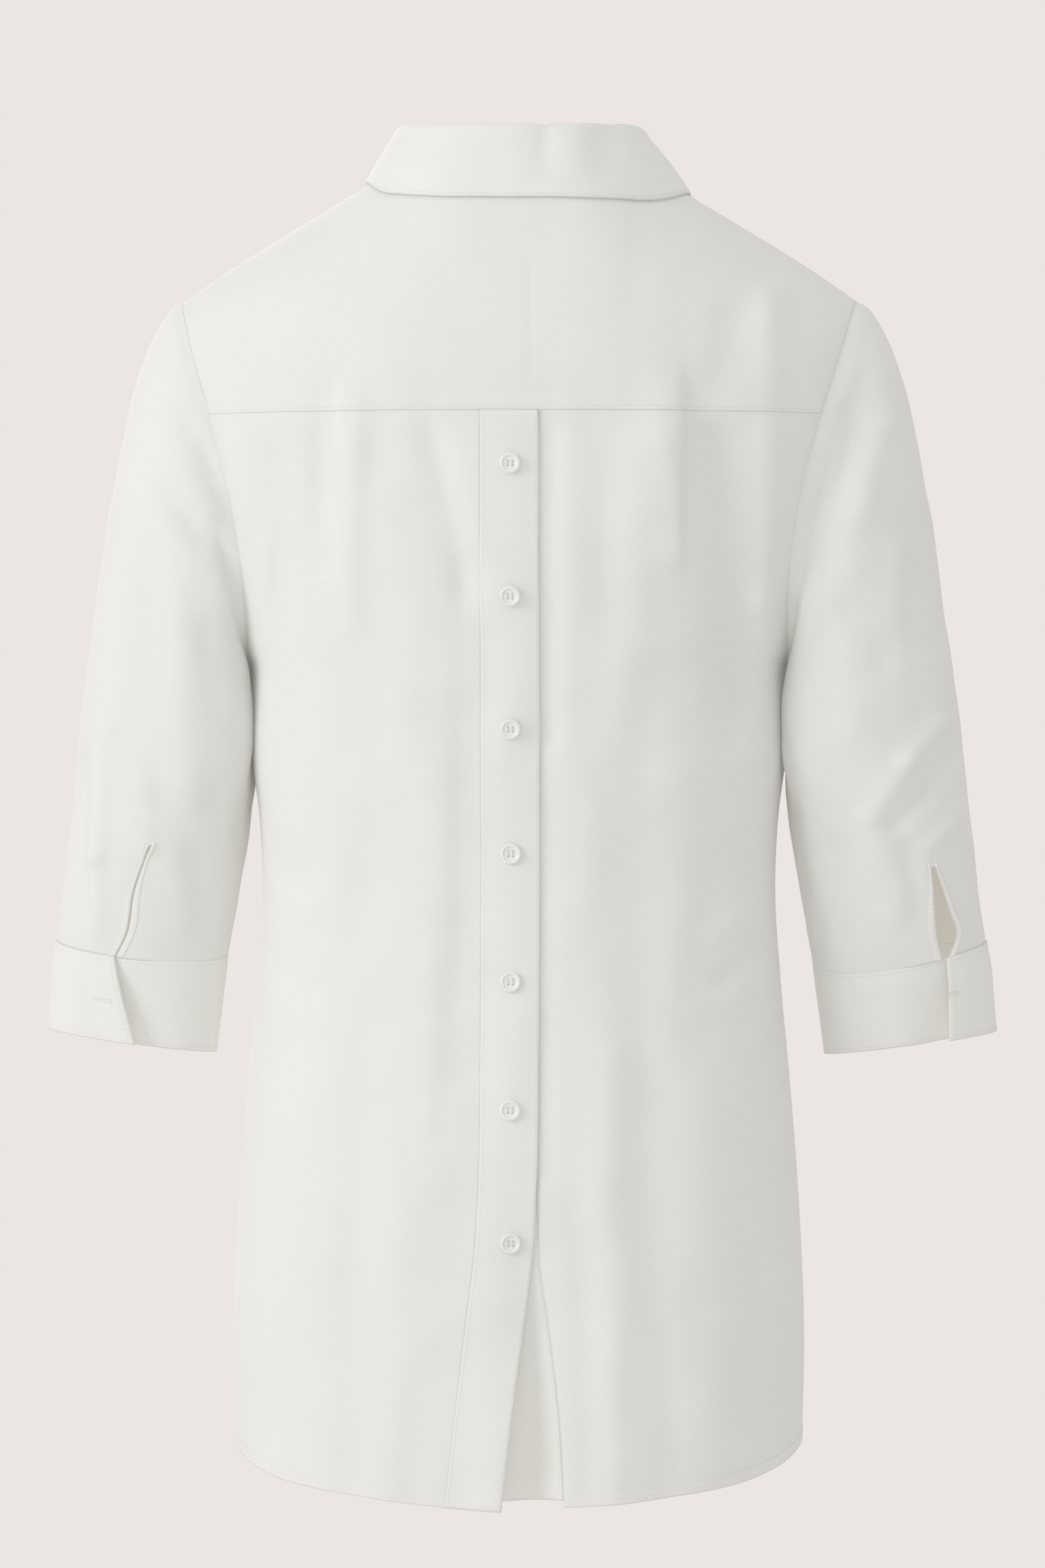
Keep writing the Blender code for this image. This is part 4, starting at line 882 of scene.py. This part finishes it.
SLEEVE_CREASES[-1] = table(
    CREASE,
    (-181, -132, -161, -155, 7.5, 8.5, -2.1, 0),
    (-167, -148, -156, -176, 7.5, 7.5, -2, 0),
    (-193, -168, -175, -192, 7.5, 8.5, -2.1, 0),
    (-181, -185, -154, -208, 8.5, 8.5, -2.2, 0),
    (-192, -147, -166, -178, 8.5, 8.5, 1.7, 0),
    (-200, -173, -178, -209, 10.5, 10.5, 1.1, 0),
    (-231, -300, -236, -371, 5, 6, 2.8, 1),
    (-236, -371, -236.5, -414, 5, 5, 2.4, 0),
    (-246, -320, -247, -408, 6, 6, -2.6, 1),
    (-206, -208, -214, -300, 12, 12, -2.2, 3),
    (-186, -236, -184, -330, 10, 10, 2.2, 2),
    (-172, -250, -168, -340, 8, 8, -1.8, 2),
    (-196, -352, -190, -410, 9, 9, 1.6, 2),
    (-216, -352, -206, -366, 5, 5, 1.8, 0),
    (-208, -330, -204, -362, 6, 7, 1.6, 0),
    (-180, -372, -178, -412, 7, 7, -1.6, 0),
)
CONTACT_FOOT_Z = -345.0
MOST_PRESSED = 8.0
FLAT_POWER = 0.6
SLIT_OPENING = {"left": 0.45, "right": 1.6}


def sleeve_row(ring, name):
    """One column of the table of sleeve sections at some rings."""
    return along(np.arange(len(SLEEVE)), SLEEVE[name], ring)


def body_side(z, y):
    """Distance out of the back's wall at some levels, where it is as deep as given."""
    far = side_edge(z)
    near = 0.6 * far
    for _ in range(12):
        middle = (near + far) / 2
        deeper = np.abs(wall_depth(middle, z, -1)) > np.abs(y)
        near = np.where(deeper, middle, near)
        far = np.where(deeper, far, middle)
    return far


def sleeve_wall(side, ring, turn, foot=0.0):
    """Points round a sleeve: turn 0 outside, a quarter behind, a half inside. Foot 0 to 1 is the cuff."""
    parts = [sleeve_row(ring, name) * (1 - foot) + last * foot
             for name, last in zip(SLEEVE.dtype.names, CUFF_FOOT, strict=True)]
    outer_x, outer_z, inner_x, inner_z, depth, mid_y, bow = parts
    cosine = np.cos(turn)
    beside = np.clip(-cosine, 0, 1) ** FLAT_POWER + np.clip(cosine, 0, 1)
    facing_body = eased((ring - 1.0) / 2.0) * eased((11.0 - ring) / 3.0) * (cosine < 0)
    x = (outer_x + inner_x) / 2 + (outer_x - inner_x) / 2 * (cosine - (beside + cosine) * facing_body)
    z = (outer_z + inner_z) / 2 + (outer_z - inner_z) / 2 * cosine
    first = SLEEVE[0]
    straight = (first["outer_x"] + first["inner_x"]) / 2 + (first["outer_x"] - first["inner_x"]) / 2 * cosine
    x = x + bow * (armhole_point(turn, -1)[0] - straight)
    y = mid_y - depth * np.sin(turn)
    last = len(SLEEVE) - 1
    near_cuff = eased((ring - last + 3.0) / 3.0) * (1 - foot)
    drop = RIGHT_SEAM_DROP if side > 0 else LEFT_SEAM_DROP
    behind = np.clip(np.sin(turn), 0, 1)
    z = z - near_cuff * (CUFF_SAG * behind + drop * (1 - cosine) / 2 * (0.4 + 0.6 * behind))
    height = crease_height(SLEEVE_CREASES[side], side * x, z) * eased(np.sin(turn) * 1.6)
    height = height + 0.8 * crease_height(SLEEVE_CREASES[-side], -side * x, z) * eased(-np.sin(turn) * 1.6)
    height = height + 0.4 * rumple(x + 60 * np.sin(turn), z, 22.0, 11 + side)
    touching = eased((z - CONTACT_FOOT_Z) / 40) * eased((ARMHOLE_LOW_Z + 24 - z) / 60)
    touching *= eased(-cosine * 2.2 - 0.2)
    if touching.max() > 0:
        spare = x - body_side(z, y) - 2 * CLOTH_THICK - 0.4
        x = x - np.clip(spare, 0.0, MOST_PRESSED) * touching
    height = height * eased(ring / 1.5) * (1 - eased((ring - last + 1.2) / 1.2)) * (1 - foot)
    x = x + height * cosine
    y = y - height * np.sin(turn)
    return np.stack([side * x, y, z], axis=-1)


def slit_at(side_name, ring):
    """The slit's middle and half its width, in degrees of turn, at a ring."""
    top = SLIT_RING[side_name]
    share = (ring - top) / (len(SLEEVE) - 1 - top)
    return (
        float(rising(SLIT, "share", side_name + "_turn", share)),
        float(rising(SLIT, "share", side_name + "_half", share)),
    )


def sleeve(side):
    """A sleeve, open along its slit."""
    side_name = "right" if side > 0 else "left"
    top = SLIT_RING[side_name]
    rings = np.concatenate([np.linspace(0, top, 150)[:-1], np.linspace(top, 13.0, 40)])
    spacing = np.linspace(0, 1, 118)
    rows = []
    for ring in rings:
        middle, half = slit_at(side_name, ring)
        half *= SLIT_OPENING[side_name]
        turn = middle + half + (360 - 2 * half) * spacing
        rows.append(sleeve_wall(side, np.full(len(turn), ring), np.radians(turn)))
    grid = np.array(rows)
    low = eased((ARMHOLE_LOW_Z + 60.0 - grid[0, :, 2]) / 60.0)
    grid[0, :, 0] += side * (SEAM_TUCK + 0.5 * UNDERARM_CLEAR * low)
    keep = np.ones((grid.shape[0] - 1, grid.shape[1]), bool)
    keep[int(np.searchsorted(rings, top)):, -1] = False
    square = np.repeat(np.clip(1 - rings, 0, 1)[:, None], grid.shape[1], axis=1)
    name = f"sleeve_cloth_{side_name}"
    piece = sew_shell(name, grid, blouse_cotton, closed=True, keep=keep, square=square)
    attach(piece, "root")
    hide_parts(f"sleeve_{side_name}")


sleeve(-1)
sleeve(1)

# The placket and the button stand: double bands of the cotton down the opening. The placket is sewn to
# the left back and laps over the stand, and the two part below the last button.
STAND_HEM_LIFT = 4.0
SPRING_FROM_Z = -583.0
SPRING_LENGTH = 110.0
PLACKET_STITCH = 1.35
# The bands' cotton carries the same faint painted glow as the blouse's.
band_cotton = cotton("band_cotton", (0.815, 0.815, 0.795), 0.09, 0.86, 0.12, PAINTED_GLOW_THROUGH)


def band(name, edges, node, lift, lift_hem, proud_step, spring):
    """A band between two columns of the table of edges, its free edge sprung out at the foot."""
    levels = np.linspace(HEM_Z, YOKE_Z - 0.1, 300)
    share = np.linspace(0, 1, 26)
    left = opening(levels, edges + "_left")[:, None]
    right = opening(levels, edges + "_right")[:, None]
    grid = back_wall(left + (right - left) * share, levels, lift_hem)
    free = share**1.6 if spring > 0 else 1 - share
    grid[..., 1] -= spring * eased((SPRING_FROM_Z - levels[:, None]) / SPRING_LENGTH) * free
    proud = np.tile(proud_step * np.sin(math.pi * share) ** 0.5, (len(levels), 1))
    piece = sew_shell(name, grid, band_cotton, hint=np.array([0, -1.0, 0]), lift=lift, proud=proud)
    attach(piece, "root")
    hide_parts(node)


band("placket_band", "placket", "button_placket", LAYER_STEP, 0.0, 0.2, 8.0)
band("stand_band", "stand", "button_stand", 0.0, STAND_HEM_LIFT, 0.0, -6.0)

# The slit bindings: narrow strips of the cotton folded over the raw edges of each slit and sewn flat,
# square at the top.
BINDING_THICK = 1.0
BINDING_EDGE_DEG = 0.35
LIP_WIDTH = 3.8
LIP_RISE = 0.07
LIP_LIFT = {"left": 0.35, "right": 0.7}
LIP_ROLL = {"left": 0.2, "right": 0.6}
BINDING_CUT_SHARE = 1.25
SLEEVE_RADIUS_AT_SLIT = 49.0


def binding(side):
    """The rolled lips on both edges of a sleeve's slit."""
    side_name = "right" if side > 0 else "left"
    top = SLIT_RING[side_name]
    widest = math.degrees(LIP_WIDTH / SLEEVE_RADIUS_AT_SLIT)
    rings = np.concatenate([np.linspace(top - LIP_RISE, top, 9)[:-1], np.linspace(top, 12.98, 50)])
    rows = []
    for ring in rings:
        middle, half = slit_at(side_name, ring)
        half = half * SLIT_OPENING[side_name] + BINDING_EDGE_DEG
        wide = widest * (0.3 + 0.7 * eased(1.6 * (ring - top) / (13.0 - top)))
        part = np.linspace(0, 1, 8)
        turn = middle + np.concatenate([-half - wide * (1 - part), half + wide * part])
        rows.append(sleeve_wall(side, np.full(len(turn), ring), np.radians(turn)))
    keep = np.ones((len(rings) - 1, 15), bool)
    keep[8:, 7] = False
    grid = np.array(rows)
    rolled = LIP_ROLL[side_name] * np.sin(math.pi * np.concatenate([part, part]))
    piece = sew_shell(
        f"binding_strip_{side_name}", grid, band_cotton, keep=keep, hint=np.array([side * 0.3, -1.0, 0.0]),
        thick=BINDING_THICK, lift=LIP_LIFT[side_name], proud=np.tile(rolled, (len(rings), 1)),
    )
    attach(piece, "root")
    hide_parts(f"slit_binding_{side_name}")
    _, length, area = flat_size(grid, False, keep)
    area = BINDING_CUT_SHARE * area


binding(-1)
binding(1)

# The cuffs: stiff double bands that lap over themselves at the slit, with the outer end standing a
# little off the inner one.
CUFF_THICK = 1.6
CUFF_LAP_DEG = 24.0
CUFF_LAP_FOOT = {"left": 96.0, "right": 66.0}
CUFF_LAP_FADE_DEG = 80.0
CUFF_LAP_OUT = 2.6
CUFF_UNDER_IN = -2.4
CUFF_TUCK = 0.7
LAP_SPRING = {"left": 5.6, "right": 3.0}
UNDER_FROM_DEG = 325.0
UNDER_RUN_DEG = 35.0
SPRING_RUN_DEG = 26.0
UNDER_MORE = {"left": 1.2, "right": 2.6}


def cuff(side):
    """A cuff that goes once round and laps over its own start."""
    side_name = "right" if side > 0 else "left"
    travel = np.linspace(0, 360 + CUFF_LAP_DEG, 190)
    head = float(SLIT[side_name + "_turn"][-1])
    last = float(len(SLEEVE) - 1)
    rows = []
    feet = np.linspace(0, 1, 34)
    for foot in feet:
        start = head + (CUFF_LAP_FOOT[side_name] - head) * foot
        turn = np.radians(start - travel)
        points = sleeve_wall(side, np.full(len(travel), last), turn, foot)
        over = CUFF_LAP_OUT * (1 - eased((travel - CUFF_LAP_DEG - 4) / CUFF_LAP_FADE_DEG))
        over *= 0.4 + 0.6 * eased(foot * 3)
        over += LAP_SPRING[side_name] * foot * (1 - eased(travel / SPRING_RUN_DEG))
        under = CUFF_UNDER_IN * UNDER_MORE[side_name] * eased((travel - UNDER_FROM_DEG) / UNDER_RUN_DEG)
        push = over + under * (0.15 + 0.85 * foot)
        points[:, 0] += side * push * np.cos(turn)
        points[:, 1] -= push * np.sin(turn)
        points[:, 2] += CUFF_TUCK * (1 - eased(foot * 10))
        rows.append(points)
    grid = np.array(rows)
    flush = (CLOTH_THICK - CUFF_THICK + 0.2) * (1 - eased(feet / 0.16))
    proud = np.repeat(flush[:, None], len(travel), axis=1)
    piece = sew_shell(f"cuff_band_{side_name}", grid, band_cotton, thick=CUFF_THICK, proud=proud)
    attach(piece, "root")
    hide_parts(f"cuff_{side_name}")


cuff(-1)
cuff(1)

# The collar: a stand sewn to the neckline and a leaf turned down over it, both of two layers with a
# stiff layer between. The leaf stands off the yoke and rests on the shoulders.
COLLAR_HALF_WIDTH = 66.0
COLLAR_BACK = 58.0
COLLAR_FRONT = 74.0
COLLAR_SIDE_Z = 37.4
COLLAR_BACK_RISE = -3.4
COLLAR_FRONT_DROP = 50.0
COLLAR_END_DEG = 172.0
COLLAR_ROLL = 1.6
STAND_FOOT_LIFT = 2.1
STAND_HEAD_DROP = 0.8
LEAF_LIFT = 1.0
LEAF_FALL = 1.14
LEAF_EDGE = table(
    "turn x y z",
    (0, 0, -73.2, -5.5),
    (30, 46, -67.2, -5.5),
    (60, 81.5, -42, -4),
    (90, 96.8, -1, 2.2),
    (120, 91, 41.5, -9.5),
    (150, 70, 80, -36),
    (172, 50, 98.8, -66),
)
LEAF_LEFT_SHARE = 0.89
LEAF_LEFT_RISE = 6.4
LEAF_REST = 0.55
LEAF_ROLL_SHARE = 0.26
LEAF_DIP = 3.2
LEAF_DIPS = table(
    "x wide deep",
    (17, 6, 1),
    (52, 10, 1.3),
    (35, 8, -0.6),
)


def neckline(turn_deg):
    """The neck seam at turns from the middle of the back, on the panels' own top edges."""
    turn = np.radians(turn_deg)
    top_x = NECK_HALF_WIDTH * np.sin(turn)
    rear = upper_wall(top_x, 1.0, -1, YOKE_Z)
    fore = upper_wall(top_x, 1.0, 1, FRONT_BASE_Z)
    return np.where((np.cos(turn) > 0)[:, None], rear, fore)


def collar_top(turn_deg):
    """The fold between stand and leaf."""
    turn = np.radians(turn_deg)
    cosine = np.cos(turn)
    x = COLLAR_HALF_WIDTH * np.sin(turn)
    y = np.where(cosine > 0, -COLLAR_BACK * cosine, -COLLAR_FRONT * cosine)
    rear = COLLAR_SIDE_Z + COLLAR_BACK_RISE * cosine**2
    fore = COLLAR_SIDE_Z - COLLAR_FRONT_DROP * np.abs(cosine) ** 1.5
    return np.stack([x, y, np.where(cosine > 0, rear, fore)], axis=-1)


def leaf_edge(turn_deg):
    """The leaf's lower edge, lying on the yoke and the front."""
    size = np.abs(turn_deg)
    x = rising(LEAF_EDGE, "turn", "x", size)
    z = rising(LEAF_EDGE, "turn", "z", size)
    across = np.sin(np.radians(turn_deg))
    left = np.clip(-across, 0.0, 1.0)
    x = x * (1 - (1 - LEAF_LEFT_SHARE) * left)
    z = z + LEAF_LEFT_RISE * left**2
    return np.stack([np.sign(turn_deg) * x, rising(LEAF_EDGE, "turn", "y", size), z], axis=-1)


def cloth_tree(name):
    """A search tree of a cloth's outer face, in mm."""
    outer = cloth_faces[name][0]
    rows, columns = outer.shape[:2]
    corner = (np.arange(rows - 1)[:, None] * columns + np.arange(columns - 1)).reshape(-1, 1)
    faces = corner + np.array([0, columns, columns + 1, 1])
    return mathutils.bvhtree.BVHTree.FromPolygons(outer.reshape(-1, 3).tolist(), faces.tolist())


stand_turns = np.linspace(-COLLAR_END_DEG, COLLAR_END_DEG, 150)
neck_seam = neckline(stand_turns)
stand_head = collar_top(stand_turns)
stand_rows = []
for share in np.linspace(0, 1, 14):
    row = neck_seam + (stand_head - neck_seam) * share
    row[:, 2] += STAND_FOOT_LIFT * (1 - share) - STAND_HEAD_DROP * share
    stand_rows.append(row)
stand_rows = np.array(stand_rows)
collar_stand = sew_shell("collar_stand_band", stand_rows, band_cotton)
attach(collar_stand, "root")
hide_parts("collar_stand")

leaf_turns = np.linspace(-COLLAR_END_DEG, COLLAR_END_DEG, 210)
leaf_fold = collar_top(leaf_turns)
leaf_size = np.abs(leaf_turns)
leaf_foot = leaf_edge(leaf_turns)
leaf_rows = []
leaf_shares = np.concatenate([np.linspace(0, LEAF_ROLL_SHARE, 12)[:-1], np.linspace(LEAF_ROLL_SHARE, 1, 26)])
for share in leaf_shares:
    row = leaf_fold + (leaf_foot - leaf_fold) * share
    row[:, 2] = leaf_fold[:, 2] + (leaf_foot[:, 2] - leaf_fold[:, 2]) * share**LEAF_FALL + LEAF_LIFT
    row[:, 2] += COLLAR_ROLL * math.sin(math.pi * min(1.0, share / LEAF_ROLL_SHARE))
    dip = sum(d["deep"] * np.exp(-(((row[:, 0] - d["x"]) / d["wide"]) ** 2)) for d in LEAF_DIPS)
    row[:, 1] += LEAF_DIP * dip * math.sin(math.pi * share**0.8) ** 0.7 * (1 - share) * (leaf_size < 90)
    leaf_rows.append(row)
leaf_rows = np.array(leaf_rows)
below = [cloth_tree("yoke_cloth"), cloth_tree("front_cloth")]
rest = np.zeros((len(leaf_turns), 3))
for k, point in enumerate(leaf_rows[-1]):
    hits = [tree.find_nearest(mathutils.Vector(point)) for tree in below]
    spot, normal, _, gap = min(hits, key=lambda hit: hit[3])
    reach = np.array(mathutils.Vector(point) - spot)
    rest[k] = reach / gap * (LEAF_REST - gap)
for share, row in zip(leaf_shares, leaf_rows, strict=True):
    row += rest * share**4
collar_leaf = sew_shell("collar_leaf_cloth", leaf_rows, band_cotton)
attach(collar_leaf, "root")
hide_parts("collar_leaf")

# The topstitching: rows of lockstitch in white cotton thread at the yoke seam, hems, placket, cuffs,
# collar and slits, and a worked buttonhole on each cuff's lap. Each stitch is a small rounded ridge.
STITCH_PITCH = 2.6
STITCH_LENGTH = 2.0
LIP_STITCH_LENGTH = 1.6
STITCH_HALF = 0.26
STITCH_HIGH = 0.3
CUFF_STITCH = 1.6
CUFF_HOLES = {"left": (-234.0, -452.0), "right": (242.0, -448.0)}
CUFF_HOLE_LENGTH = 11.0
HOLE_EDGE = 0.8


def clouded(name, dark, light, cloud_scale, roughness, layer, weight):
    """A plain finish whose colour drifts between two tones, with a share of sheen or coat."""
    finish = bpy.data.materials.new(name)
    finish.use_nodes = True
    tree = finish.node_tree
    shader = tree.nodes["Principled BSDF"]
    shader.inputs["Roughness"].default_value = roughness
    shader.inputs[layer].default_value = weight
    place = tree.nodes.new("ShaderNodeTexCoord")
    cloud = tree.nodes.new("ShaderNodeTexNoise")
    cloud.inputs["Scale"].default_value = cloud_scale
    tone = tree.nodes.new("ShaderNodeValToRGB")
    tone.color_ramp.elements[0].color = (*dark, 1.0)
    tone.color_ramp.elements[1].color = (*light, 1.0)
    node_link(tree, place, "Object", cloud, "Vector")
    node_link(tree, cloud, "Fac", tone, "Fac")
    node_link(tree, tone, "Color", shader, "Base Color")
    return finish


thread_cotton = clouded(
    "thread_cotton", (0.76, 0.76, 0.74), (0.86, 0.86, 0.84), 900.0, 0.6, "Sheen Weight", 0.2
)


def on_cloth(name, row, column):
    """Points and normals on a cloth's outer face at grid rows and columns that may fall between points."""
    outer, n = cloth_faces[name]
    row = np.clip(row, 0, outer.shape[0] - 1.001)
    column = np.clip(column, 0, outer.shape[1] - 1.001)
    i = row.astype(int)
    j = column.astype(int)
    a = (row - i)[:, None]
    b = (column - j)[:, None]
    here = (f[i, j] * (1 - b) + f[i, j + 1] * b for f in (outer, n))
    after = (f[i + 1, j] * (1 - b) + f[i + 1, j + 1] * b for f in (outer, n))
    return [f * (1 - a) + g * a for f, g in zip(here, after, strict=True)]


def thread_ridges(points, way, out, length, half, high):
    """Corners of small ridges of thread, one at each point."""
    side = np.cross(out, way)
    tip = way * length / 2
    body = tip * 0.7
    low = points - out * 0.06
    across = (-side * half, out * high, side * half)
    ends = [low + end + step for end in (-body, body) for step in across]
    return np.stack([low - tip, *ends, low + tip], axis=1)


RIDGE_FACES = ((0, 1, 2), (0, 2, 3), (1, 4, 5, 2), (3, 2, 5, 6), (4, 7, 5), (5, 7, 6))


def thread_mesh(name, ridges):
    """One joined mesh of ridges of thread."""
    corners = np.concatenate(ridges)
    faces = [tuple(8 * k + c for c in face) for k in range(len(corners)) for face in RIDGE_FACES]
    mesh = bpy.data.meshes.new(name)
    mesh.from_pydata((corners.reshape(-1, 3) * MM).tolist(), [], faces)
    mesh.polygons.foreach_set("use_smooth", np.ones(len(faces), bool))
    mesh.materials.append(thread_cotton)
    return linked(name, mesh)


def sewn(name, row, column, length=STITCH_LENGTH):
    """Ridges of a row of stitches along a line on a cloth."""
    row, column = np.broadcast_arrays(np.asarray(row, float), np.asarray(column, float))
    points, out = on_cloth(name, row, column)
    walked = np.concatenate([[0.0], np.cumsum(np.linalg.norm(np.diff(points, axis=0), axis=1))])
    count = max(1, int(walked[-1] / STITCH_PITCH))
    middle = (np.arange(count) + 0.5) * walked[-1] / count

    def at(where, field):
        return np.stack([np.interp(where, walked, field[:, k]) for k in range(3)], axis=1)

    way = at(middle + 0.7, points) - at(middle - 0.7, points)
    way /= np.linalg.norm(way, axis=1, keepdims=True)
    up = at(middle, out)
    up /= np.linalg.norm(up, axis=1, keepdims=True)
    return thread_ridges(at(middle, points), way, up, length, STITCH_HALF, STITCH_HIGH)


def grid_size(name):
    """How many rows and columns of points a cloth has."""
    return cloth_faces[name][0].shape[:2]


def line(first, last, count=500):
    """Even places from one to another along a cloth's rows or columns."""
    return np.linspace(first, last, count)


yoke_columns = grid_size("yoke_cloth")[1]
placket_rows, placket_columns = grid_size("placket_band")
leaf_count, leaf_columns = grid_size("collar_leaf_cloth")
spring_row = placket_rows * (SPRING_FROM_Z - HEM_Z) / (YOKE_Z - HEM_Z)
stitches = [sewn("yoke_cloth", 3.0, line(3, yoke_columns - 4))]
for cloth_name in ("back_cloth_left", "back_cloth_right", "front_cloth"):
    stitches.append(sewn(cloth_name, HEM_FOLD, line(1, grid_size(cloth_name)[1] - 2)))
for column in (PLACKET_STITCH, placket_columns - 1 - PLACKET_STITCH):
    stitches.append(sewn("placket_band", line(1, placket_rows - 2), column))
stitches.append(sewn("stand_band", line(1, spring_row), placket_columns - 2.2))
for side_name in ("left", "right"):
    cuff_name = f"cuff_band_{side_name}"
    cuff_rows, cuff_columns = grid_size(cuff_name)
    for row in (CUFF_STITCH, cuff_rows - 1 - CUFF_STITCH):
        stitches.append(sewn(cuff_name, row, line(CUFF_STITCH, cuff_columns - 6)))
    stitches.append(sewn(cuff_name, line(CUFF_STITCH, cuff_rows - 1 - CUFF_STITCH), CUFF_STITCH))
    lip_name = f"binding_strip_{side_name}"
    lip_rows, lip_columns = grid_size(lip_name)
    for column in (0.8, lip_columns - 1.8):
        stitches.append(sewn(lip_name, line(2, lip_rows - 2), column, LIP_STITCH_LENGTH))
stitches.append(sewn("collar_leaf_cloth", leaf_count - 2.3, line(2, leaf_columns - 3)))
for column in (2.0, leaf_columns - 3.0):
    stitches.append(sewn("collar_leaf_cloth", line(8, leaf_count - 2.3), column))
topstitching = thread_mesh("topstitching", stitches)
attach(topstitching, "root")


def buttonhole(side_name):
    """A worked hole across a cuff's lap: close stitches along both its edges and a bar at each end."""
    name = f"cuff_band_{side_name}"
    outer = cloth_faces[name][0]
    x, z = CUFF_HOLES[side_name]
    miss = np.abs(outer[..., 0] - x) + np.abs(outer[..., 2] - z) + 100 * (outer[..., 1] > 0)
    miss[:, outer.shape[1] // 2:] += 100
    row, column = np.unravel_index(miss.argmin(), miss.shape)
    step = np.linalg.norm(outer[row, column + 1] - outer[row, column])
    span = CUFF_HOLE_LENGTH / 2 / step
    reach = line(column - span, column + span, 25)
    points, up = on_cloth(name, np.full(len(reach), float(row)), reach)
    up /= np.linalg.norm(up, axis=1, keepdims=True)
    way = np.gradient(points, axis=0)
    way /= np.linalg.norm(way, axis=1, keepdims=True)
    across = np.cross(up, way)
    edges = (points + across * off for off in (-HOLE_EDGE, HOLE_EDGE))
    ridges = [thread_ridges(edge, across, up, length=1.3, half=0.25, high=0.2) for edge in edges]
    for end in (0, -1):
        bar = points[end] + across[end] * np.array([-0.9, -0.3, 0.3, 0.9])[:, None]
        bar_way, bar_up = np.tile(way[end], (4, 1)), np.tile(up[end], (4, 1))
        ridges.append(thread_ridges(bar, bar_way, bar_up, length=1.2, half=0.3, high=0.25))
    return ridges


buttonholes = thread_mesh("cuff_buttonholes", buttonhole("left") + buttonhole("right"))
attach(buttonholes, "root")

# The buttons: seven turned resin buttons with a thick rim, a dish and four holes, sewn through with white
# thread. Each stands on the placket where its plain solid does.
BUTTON_SIDES = 48
HOLE_SIDES = 12
BUTTON_SHARP = math.radians(38)
BUTTON_PROFILE = (
    (0.0, 0.0), (4.6, 0.0), (5.4, 0.4), (5.75, 1.1), (5.7, 1.8), (5.35, 2.35),
    (4.8, 2.6), (4.3, 2.5), (3.95, 2.15), (3.6, 1.85), (3.0, 1.72), (0.0, 1.7),
)
HOLE_RADIUS = 0.55
HOLE_OUT = 1.25
THREAD_RISE = 1.95
THREAD_APART = (0.22, 0.0, 0.0)
button_resin = clouded(
    "button_resin", (0.84, 0.835, 0.81), (0.90, 0.895, 0.875), 320.0, 0.32, "Coat Weight", 0.2
)


def lathe(name, profile, sides, place=(0.0, 0.0)):
    """A turned solid about the Z axis from a profile of radii and heights in mm."""
    points = []
    rings = []
    for radius, height in profile:
        count = sides if radius else 1
        rings.append(list(range(len(points), len(points) + count)))
        for turn in (2 * math.pi * k / sides for k in range(count)):
            x = place[0] + radius * math.cos(turn)
            y = place[1] + radius * math.sin(turn)
            points.append((x * MM, y * MM, height * MM))
    faces = []
    for low, high in zip(rings, rings[1:], strict=False):
        for k in range(sides):
            after = (k + 1) % sides
            corners = [(low, k), (low, after), (high, after), (high, k)]
            faces.append(tuple(dict.fromkeys(ring[step % len(ring)] for ring, step in corners)))
    mesh = bpy.data.meshes.new(name)
    mesh.from_pydata(points, [], faces)
    return linked(name, mesh)


def drilled_button():
    """The mesh of one button with its four holes."""
    blank = lathe("button_blank", BUTTON_PROFILE, BUTTON_SIDES)
    post = ((0.0, -1.0), (HOLE_RADIUS, -1.0), (HOLE_RADIUS, 4.0), (0.0, 4.0))
    drills = []
    for x in (-HOLE_OUT, HOLE_OUT):
        for y in (-HOLE_OUT, HOLE_OUT):
            drill = lathe("button_drill", post, HOLE_SIDES, (x, y))
            cut = blank.modifiers.new("hole", "BOOLEAN")
            cut.object = drill
            cut.operation = "DIFFERENCE"
            cut.solver = "EXACT"
            drills.append(drill)
    bpy.context.view_layer.update()
    made = bpy.data.meshes.new_from_object(blank.evaluated_get(bpy.context.evaluated_depsgraph_get()))
    for item in [blank, *drills]:
        bpy.data.objects.remove(item)
    made.polygons.foreach_set("use_smooth", np.ones(len(made.polygons), bool))
    made.set_sharp_from_angle(angle=BUTTON_SHARP)
    made.materials.clear()
    made.materials.append(button_resin)
    return made


button_mesh = drilled_button()
bar_points = np.array([(-HOLE_OUT, 0.0, THREAD_RISE), (HOLE_OUT, 0.0, THREAD_RISE)])
bar_points = np.concatenate([bar_points - THREAD_APART, bar_points + THREAD_APART])
bar_way = np.tile((0.0, 1.0, 0.0), (4, 1))
bar_out = np.tile((0.0, 0.0, 1.0), (4, 1))
thread_bars = thread_ridges(bar_points, bar_way, bar_out, length=3.4, half=0.24, high=0.3)
for number in range(1, 8):
    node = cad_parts[f"button_{number}"]
    spots = np.array([corner.co for corner in node.data.vertices])
    centre = spots.mean(axis=0)
    out = np.linalg.svd(spots - centre)[2][2]
    out *= -np.sign(out[1])
    base = centre + out * ((spots - centre) @ out).min()
    facing = mathutils.Vector(out).to_track_quat("Z", "Y").to_matrix().to_4x4()
    stand_up = mathutils.Matrix.Translation(base) @ facing
    turned = button_mesh.copy()
    turned.transform(stand_up)
    button = linked(f"turned_button_{number}", turned)
    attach(button, "root")
    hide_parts(f"button_{number}")
    tie = thread_mesh(f"button_thread_{number}", [thread_bars])
    tie.data.transform(stand_up)
    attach(tie, "root")
